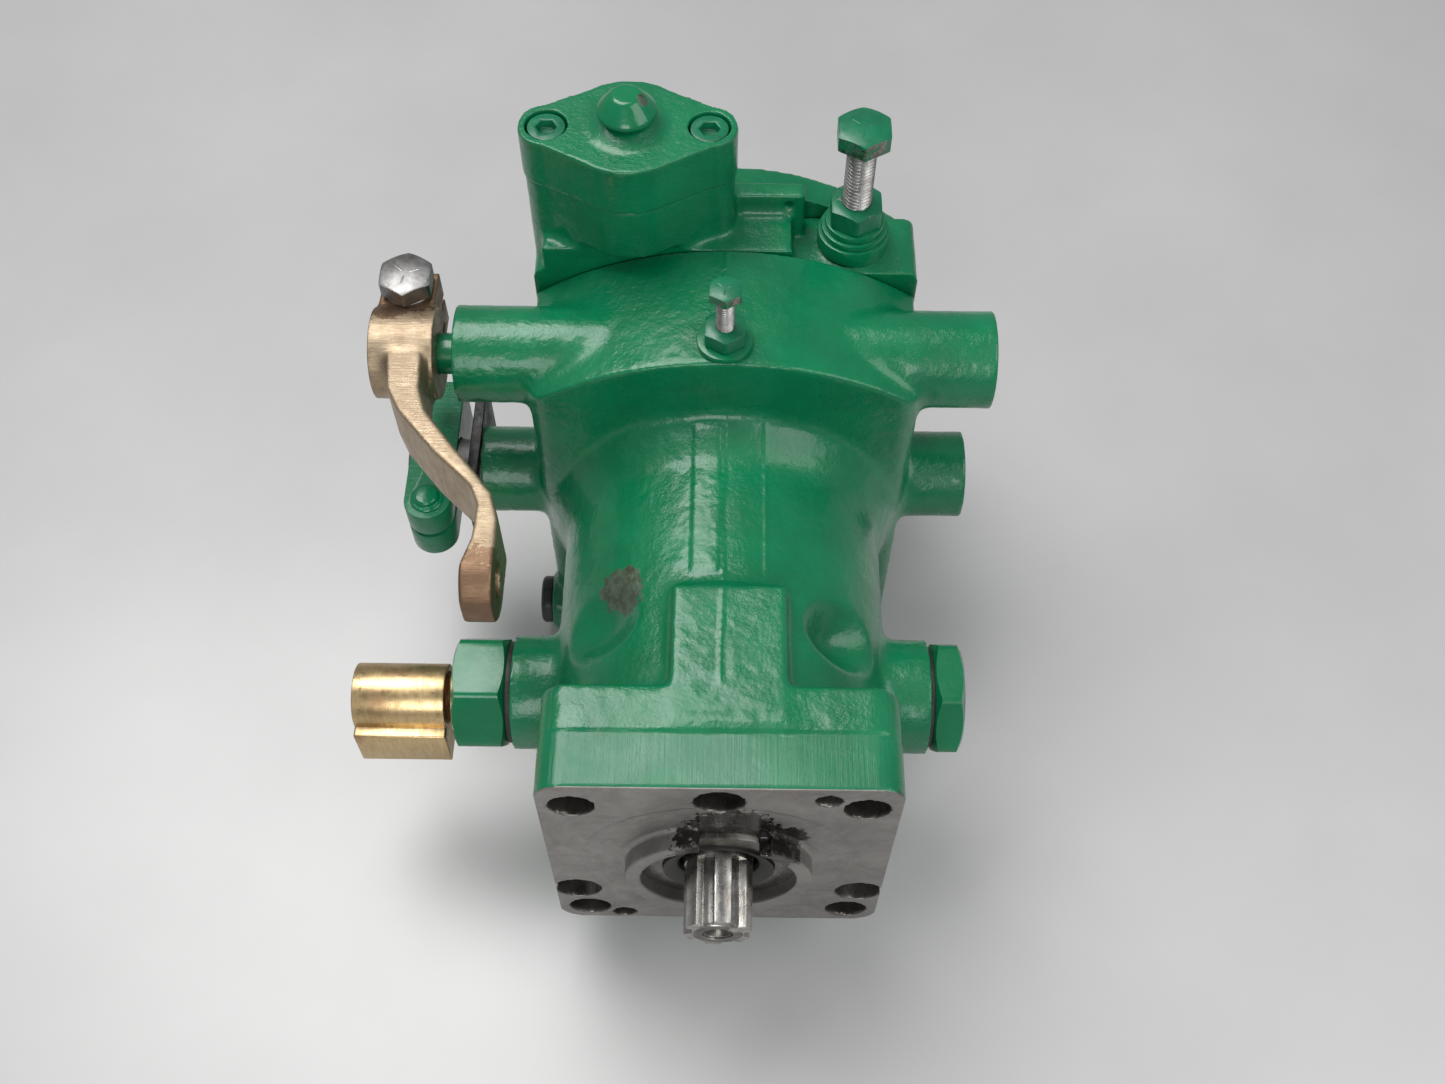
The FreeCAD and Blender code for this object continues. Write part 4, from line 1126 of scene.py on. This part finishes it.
@dataclass
class ControlLever:
    """The filed bronze lever with its pinch bolt, and the control shaft."""

    palette: Palette
    bolt_flats: float = 17.0
    head_height: float = 6.6
    clamp_outer: float = -0.1182
    clamp_inner: float = -0.0985
    clamp_depth: float = 0.14

    def crisp_clamp(self, places: np.ndarray) -> np.ndarray:
        """Where the lever is machined: the outer and inner faces of its clamp."""
        side = places[:, 0]
        return (side < self.clamp_outer) | ((side > self.clamp_inner) & (places[:, 1] > self.clamp_depth))

    def build(self) -> None:
        """Make the lever, bolt and shaft."""
        looks = self.palette
        CastPiece("control_lever", "control", Slot.BRONZE, [looks.bronze], 0.45, 8, 150, 0.05,
                  self.crisp_clamp).build()
        EdgedPiece("control_shaft", "control", Slot.STEEL, looks.machined, 0.4).build()
        low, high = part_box("lever_pinch_bolt")
        x, y = (low.x + high.x) / 2 / MM, (low.y + high.y) / 2 / MM
        head = hex_bar("pinch_head", self.bolt_flats, high.z / MM - self.head_height, high.z / MM, 0.0,
                       (False, True))
        washer = revolve("pinch_washer", [(5, -1.2), (8.3, -1.2), (8.5, -1.0), (8.5, -0.2), (8.3, 0), (5, 0)])
        washer.data.transform(Matrix.Translation((0, 0, high.z - self.head_height * MM)))
        marks = head_marks("pinch_marks", 5.4, high.z / MM)
        rod = thread("pinch_thread", 5.0, 1.5, low.z / MM, high.z / MM - 7.0)
        bolt = merged("lever_pinch_bolt_piece", [head, washer, marks, rod])
        bolt.data.transform(Matrix.Translation((x * MM, y * MM, 0)))
        bolt.data.materials.append(looks.zinc)
        settle(shade(bolt), "control", Slot.STEEL, "lever_pinch_bolt")


def head_marks(name: str, reach: float, level: float) -> bpy.types.Object:
    """Three raised radial grade strokes on a bolt head.

    Args:
        name: the piece's name.
        reach: how far out the strokes go, in millimetres.
        level: height of the head's top, in millimetres.

    Returns:
        The strokes as one object.
    """
    strokes = []
    for k in range(3):
        work = bmesh.new()
        bmesh.ops.create_cube(work, size=1.0)
        bmesh.ops.bevel(work, geom=list(work.edges), offset=0.18, segments=1, affect="EDGES")
        mesh = bpy.data.meshes.new("stroke")
        work.to_mesh(mesh)
        work.free()
        mesh.transform(Matrix.Rotation(math.radians(120 * k + 20), 4, "Z")
                       @ Matrix.Translation((reach * 0.6 * MM, 0, (level - 0.12) * MM))
                       @ Matrix.Diagonal((reach * 0.7 * MM, 0.7 * MM, 0.4 * MM, 1)))
        strokes.append(into_scene("stroke", mesh))
    return merged(name, strokes)


@dataclass
class StopScrews:
    """The two adjusting screws on top, with lock nuts and washers."""

    palette: Palette
    large_flats: float = 17.0
    small_flats: float = 10.0
    small_nut_flats: float = 13.0

    def screw(self, node: str, body: str, flats: float, head: float, radius: float, pitch: float) -> None:
        """Make one adjusting screw.

        Args:
            node: the frame node it stands for.
            body: the body it rides on.
            flats: head width across flats in millimetres.
            head: head height in millimetres.
            radius: thread radius in millimetres.
            pitch: thread pitch in millimetres.
        """
        low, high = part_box(node)
        top = high.z / MM
        cap = hex_bar(node + "_head", flats, top - head, top - 0.1, 0.0, (False, True))
        cap.data.materials.append(self.palette.bolt)
        marks = head_marks(node + "_marks", flats * 0.33, top - 0.1)
        rod = thread(node + "_thread", radius, pitch, low.z / MM, top - head + 0.1)
        whole = merged(node + "_piece", [cap, marks, rod])
        whole.data.transform(Matrix.Translation(((low.x + high.x) / 2, (low.y + high.y) / 2, 0)))
        whole.data.materials.append(self.palette.bolt)
        whole.data.materials.append(self.palette.thread)
        whole.data.materials.append(self.palette.rubbed_and_shaded)
        # Faces below the head take the thread finish. The head's side faces take the darker rubbed finish,
        # which is painted shade on the sides. The top keeps the lighter finish.
        for face in whole.data.polygons:
            below = face.center.z < high.z - head * MM
            face.material_index = 1 if below else 2 if abs(face.normal.z) < 0.3 else 0
        settle(shade(whole), body, Slot.GREEN_MACHINED, node)

    def nut(self, node: str, flats: float, bore: float) -> None:
        """Make one lock nut.

        Args:
            node: the frame node it stands for.
            flats: width across flats in millimetres.
            bore: hole radius in millimetres.
        """
        low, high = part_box(node)
        thing = hex_bar(node + "_piece", flats, low.z / MM, high.z / MM, bore)
        thing.data.transform(Matrix.Translation(((low.x + high.x) / 2, (low.y + high.y) / 2, 0)))
        thing.data.materials.append(self.palette.bolt)
        settle(shade(thing), "housing_group", Slot.GREEN_MACHINED, node)

    def build(self) -> None:
        """Make both screws, their nuts and the washers."""
        self.screw("stop_bolt", "stop_adjuster", self.large_flats, 6.6, 5.0, 1.5)
        self.screw("small_stop_screw", "small_stop_adjuster", self.small_flats, 4.0, 3.0, 1.0)
        self.nut("stop_bolt_nut", self.large_flats, 5.05)
        self.nut("small_stop_nut", self.small_nut_flats, 3.05)
        EdgedPiece("stop_washers", "housing_group", Slot.GREEN_MACHINED, self.palette.machined, 0.6).build()


@dataclass
class PortFittings:
    """The hexagon fitting, brass coupling and plug of the side ports."""

    palette: Palette
    flats: float = 36.0
    drop: float = 4.5
    station: float = 0.06
    nut_ends: tuple[float, float] = (-90.0, -72.0)
    stub_ends: tuple[float, float] = (-104.0, -89.5)
    stub_radius: float = 8.95
    stub_pitch: float = 1.8
    stub_start: float = -0.0902
    head_ends: tuple[float, float] = (71.5, 81.5)

    def build(self) -> None:
        """Make the fittings on both sides."""
        looks = self.palette
        swing = Matrix.Translation((0, self.station, 0)) @ Matrix.Rotation(math.radians(90), 4, "Y")
        nut = hex_bar("fitting_nut", self.flats, *self.nut_ends, 6.0)
        stub = thread("fitting_stub", self.stub_radius, self.stub_pitch, *self.stub_ends)
        stub.data.transform(Matrix.Translation((self.drop * MM, 0, 0)))
        tail = revolve("fitting_spigot", [(6.2, -72), (10.9, -72), (10.9, -55), (10.2, -54), (6.2, -54)])
        whole = merged("port_fitting_piece", [nut, stub, tail])
        whole.data.materials.append(looks.machined)
        whole.data.materials.append(looks.stub)
        for face in whole.data.polygons:
            face.material_index = int(face.center.z < self.stub_start)
        whole.data.transform(swing)
        settle(shade(whole), "housing_group", Slot.GREEN_MACHINED, "port_fitting")
        plug_head = hex_bar("plug_head", self.flats, *self.head_ends, 0.0)
        plug_tail = revolve("plug_spigot", [(0.05, 54), (10, 54), (10.9, 55), (10.9, 71.6), (0.05, 71.6)])
        plug = merged("port_plug_piece", [plug_head, plug_tail])
        plug.data.materials.append(looks.machined)
        plug.data.transform(swing)
        settle(shade(plug), "housing_group", Slot.GREEN_MACHINED, "port_plug")
        EdgedPiece("hose_coupling", "housing_group", Slot.BRASS, looks.brass, 0.7).build()
        EdgedPiece("port_seals", "housing_group", Slot.RUBBER, looks.rubber, 0.5).build()
        EdgedPiece("drain_plug", "housing_group", Slot.BLACK_PLASTIC, looks.plastic, 0.5).build()


@dataclass
class DriveEnd:
    """The splined shaft with its seal and carrier."""

    palette: Palette
    centre_hole: float = 4.9
    hole_end: float = -15.0

    def build(self) -> None:
        """Make what shows inside the pilot ring."""
        looks = self.palette
        shaft = EdgedPiece("drive_shaft", "rotor", Slot.STEEL, looks.shaft, 0.45).build()
        # The centre hole in the shaft's end takes the darker iron.
        shaft.data.materials.append(looks.bore)
        for face in shaft.data.polygons:
            spot = face.center / MM
            hollow = math.hypot(spot.x, spot.z) < self.centre_hole and spot.y < self.hole_end
            face.material_index = int(hollow)
        EdgedPiece("shaft_seal_carrier", "housing_group", Slot.BARE_IRON, looks.bore, 0.4).build()
        EdgedPiece("shaft_seal", "housing_group", Slot.RUBBER, looks.rubber, 0.3).build()


@dataclass
class TrunnionSide:
    """The swash plate's pins, outer arm, keeper plate and end cap."""

    palette: Palette

    def build(self) -> None:
        """Make the trunnion pieces."""
        looks = self.palette
        EdgedPiece("trunnion_arm", "swash", Slot.GREEN_MACHINED, looks.milled, 0.8).build()
        EdgedPiece("arm_clamp_pin", "swash", Slot.GREEN_MACHINED, looks.machined, 0.4).build()
        EdgedPiece("trunnion_keeper_plate", "housing_group", Slot.DARK_STEEL, looks.dark, 0.5).build()
        EdgedPiece("trunnion_pins", "swash", Slot.STEEL, looks.zinc, 0.5).build()
        EdgedPiece("trunnion_cap", "housing_group", Slot.GREEN_MACHINED, looks.machined, 0.5).build()


@dataclass
class SmallHardware:
    """Cap screws, cover screws and the servo cap's plug."""

    palette: Palette

    def build(self) -> None:
        """Make the screws and the plug."""
        looks = self.palette
        EdgedPiece("servo_cap_screws", "housing_group", Slot.GREEN_MACHINED, looks.bolt, 0.45).build()
        EdgedPiece("servo_cap_plug", "housing_group", Slot.GREEN_MACHINED, looks.machined, 0.5).build()
        EdgedPiece("cover_screws", "housing_group", Slot.GREEN_MACHINED, looks.bolt, 0.4).build()
        EdgedPiece("block_gaskets", "housing_group", Slot.PAPER, looks.paper, 0.1).build()


@dataclass
class InnerWorks:
    """The pieces sealed inside, which keep the frame's shapes."""

    palette: Palette
    bronze: tuple[str, ...] = ("valve_plate", "trunnion_bushes", "control_bushes")

    def build(self) -> None:
        """Dress every frame node that still shows."""
        done = 0
        for name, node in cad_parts.items():
            if node.hide_render:
                continue
            node.data.materials.clear()
            node.data.materials.append(self.palette.bronze if name in self.bronze else self.palette.zinc)
            shade(node, 35.0)
            done += 1
        LOG.info("inner works: %d nodes dressed", done)


# ------------------------------------------------------------------ studio


@dataclass(frozen=True)
class Lamp:
    """A square soft light that looks at the pump."""

    name: str
    place: Point
    size: float
    power: float
    target: Point = (0.0, 0.1, 0.0)

    def build(self) -> None:
        """Hang the light."""
        light = bpy.data.lights.new(self.name, "AREA")
        light.energy = self.power
        light.size = self.size
        lamp = bpy.data.objects.new(self.name, light)
        lamp.location = self.place
        lamp.rotation_euler = (Vector(self.target) - Vector(self.place)).to_track_quat("-Z", "Y").to_euler()
        bpy.context.scene.collection.objects.link(lamp)


@dataclass
class Studio:
    """Floor, lights and camera."""

    floor_level: float = -0.0853
    eye: Point = (0.0, -0.1737, 0.4631)
    pitch: float = 57.42
    roll: float = 0.7
    lens: float = 37.37

    floor_reach: float = 3.0
    sky: Colour = (0.9, 0.93, 0.97)
    sky_strength: float = 0.3
    lamps: tuple[Lamp, ...] = (Lamp("key", (-0.35, 0.45, 1.1), 0.7, 11.5),
                               Lamp("fill", (0.8, -0.2, 0.9), 0.8, 5.5),
                               Lamp("front", (-0.1, -1.0, 0.7), 0.6, 6.0))

    def build(self) -> None:
        """Set the stage."""
        self.lay_floor()
        for lamp in self.lamps:
            lamp.build()
        self.light_sky()
        self.place_camera()

    def lay_floor(self) -> None:
        """Lay the plain pale floor."""
        size = self.floor_reach
        corners = np.array([(-size, -size, 0), (size, -size, 0), (size, size, 0), (-size, size, 0)])
        floor = new_piece("floor", corners + np.array((0, 0, self.floor_level)), [(0, 1, 2, 3)])
        graph = Graph("pale floor")
        cloud = graph.noise(5.0, 5.0, 0.6)
        tone = graph.ramp(cloud, [(0.3, (0.47, 0.465, 0.46)), (0.7, (0.53, 0.525, 0.52))])
        floor.data.materials.append(graph.finish(Base_Color=tone, Roughness=0.42, Metallic=0.1))

    def light_sky(self) -> None:
        """Light the scene evenly from all round."""
        world = bpy.data.worlds.new("studio")
        world.use_nodes = True
        background = world.node_tree.nodes["Background"]
        background.inputs["Color"].default_value = (*self.sky, 1)
        background.inputs["Strength"].default_value = self.sky_strength
        bpy.context.scene.world = world

    def place_camera(self) -> None:
        """Stand the camera in front of the pump, looking down."""
        lens = bpy.data.cameras.new("camera")
        lens.lens = self.lens
        lens.sensor_width = 36.0
        camera = bpy.data.objects.new("camera", lens)
        camera.matrix_world = (Matrix.Translation(self.eye)
                               @ Matrix.Rotation(math.radians(90 - self.pitch), 4, "X")
                               @ Matrix.Rotation(math.radians(self.roll), 4, "Z"))
        bpy.context.scene.collection.objects.link(camera)
        bpy.context.scene.camera = camera
        bpy.context.scene.view_settings.view_transform = "Standard"


def main() -> None:
    """Build every sub-assembly and the studio."""
    logging.basicConfig(level=logging.INFO, format="%(name)s: %(message)s")
    palette = Palette()
    for assembly in (Castings, ControlLever, StopScrews, PortFittings, DriveEnd, TrunnionSide, SmallHardware,
                     InnerWorks):
        LOG.info("building %s", assembly.__name__)
        assembly(palette).build()
    Studio().build()


if __name__ == "__main__":
    main()
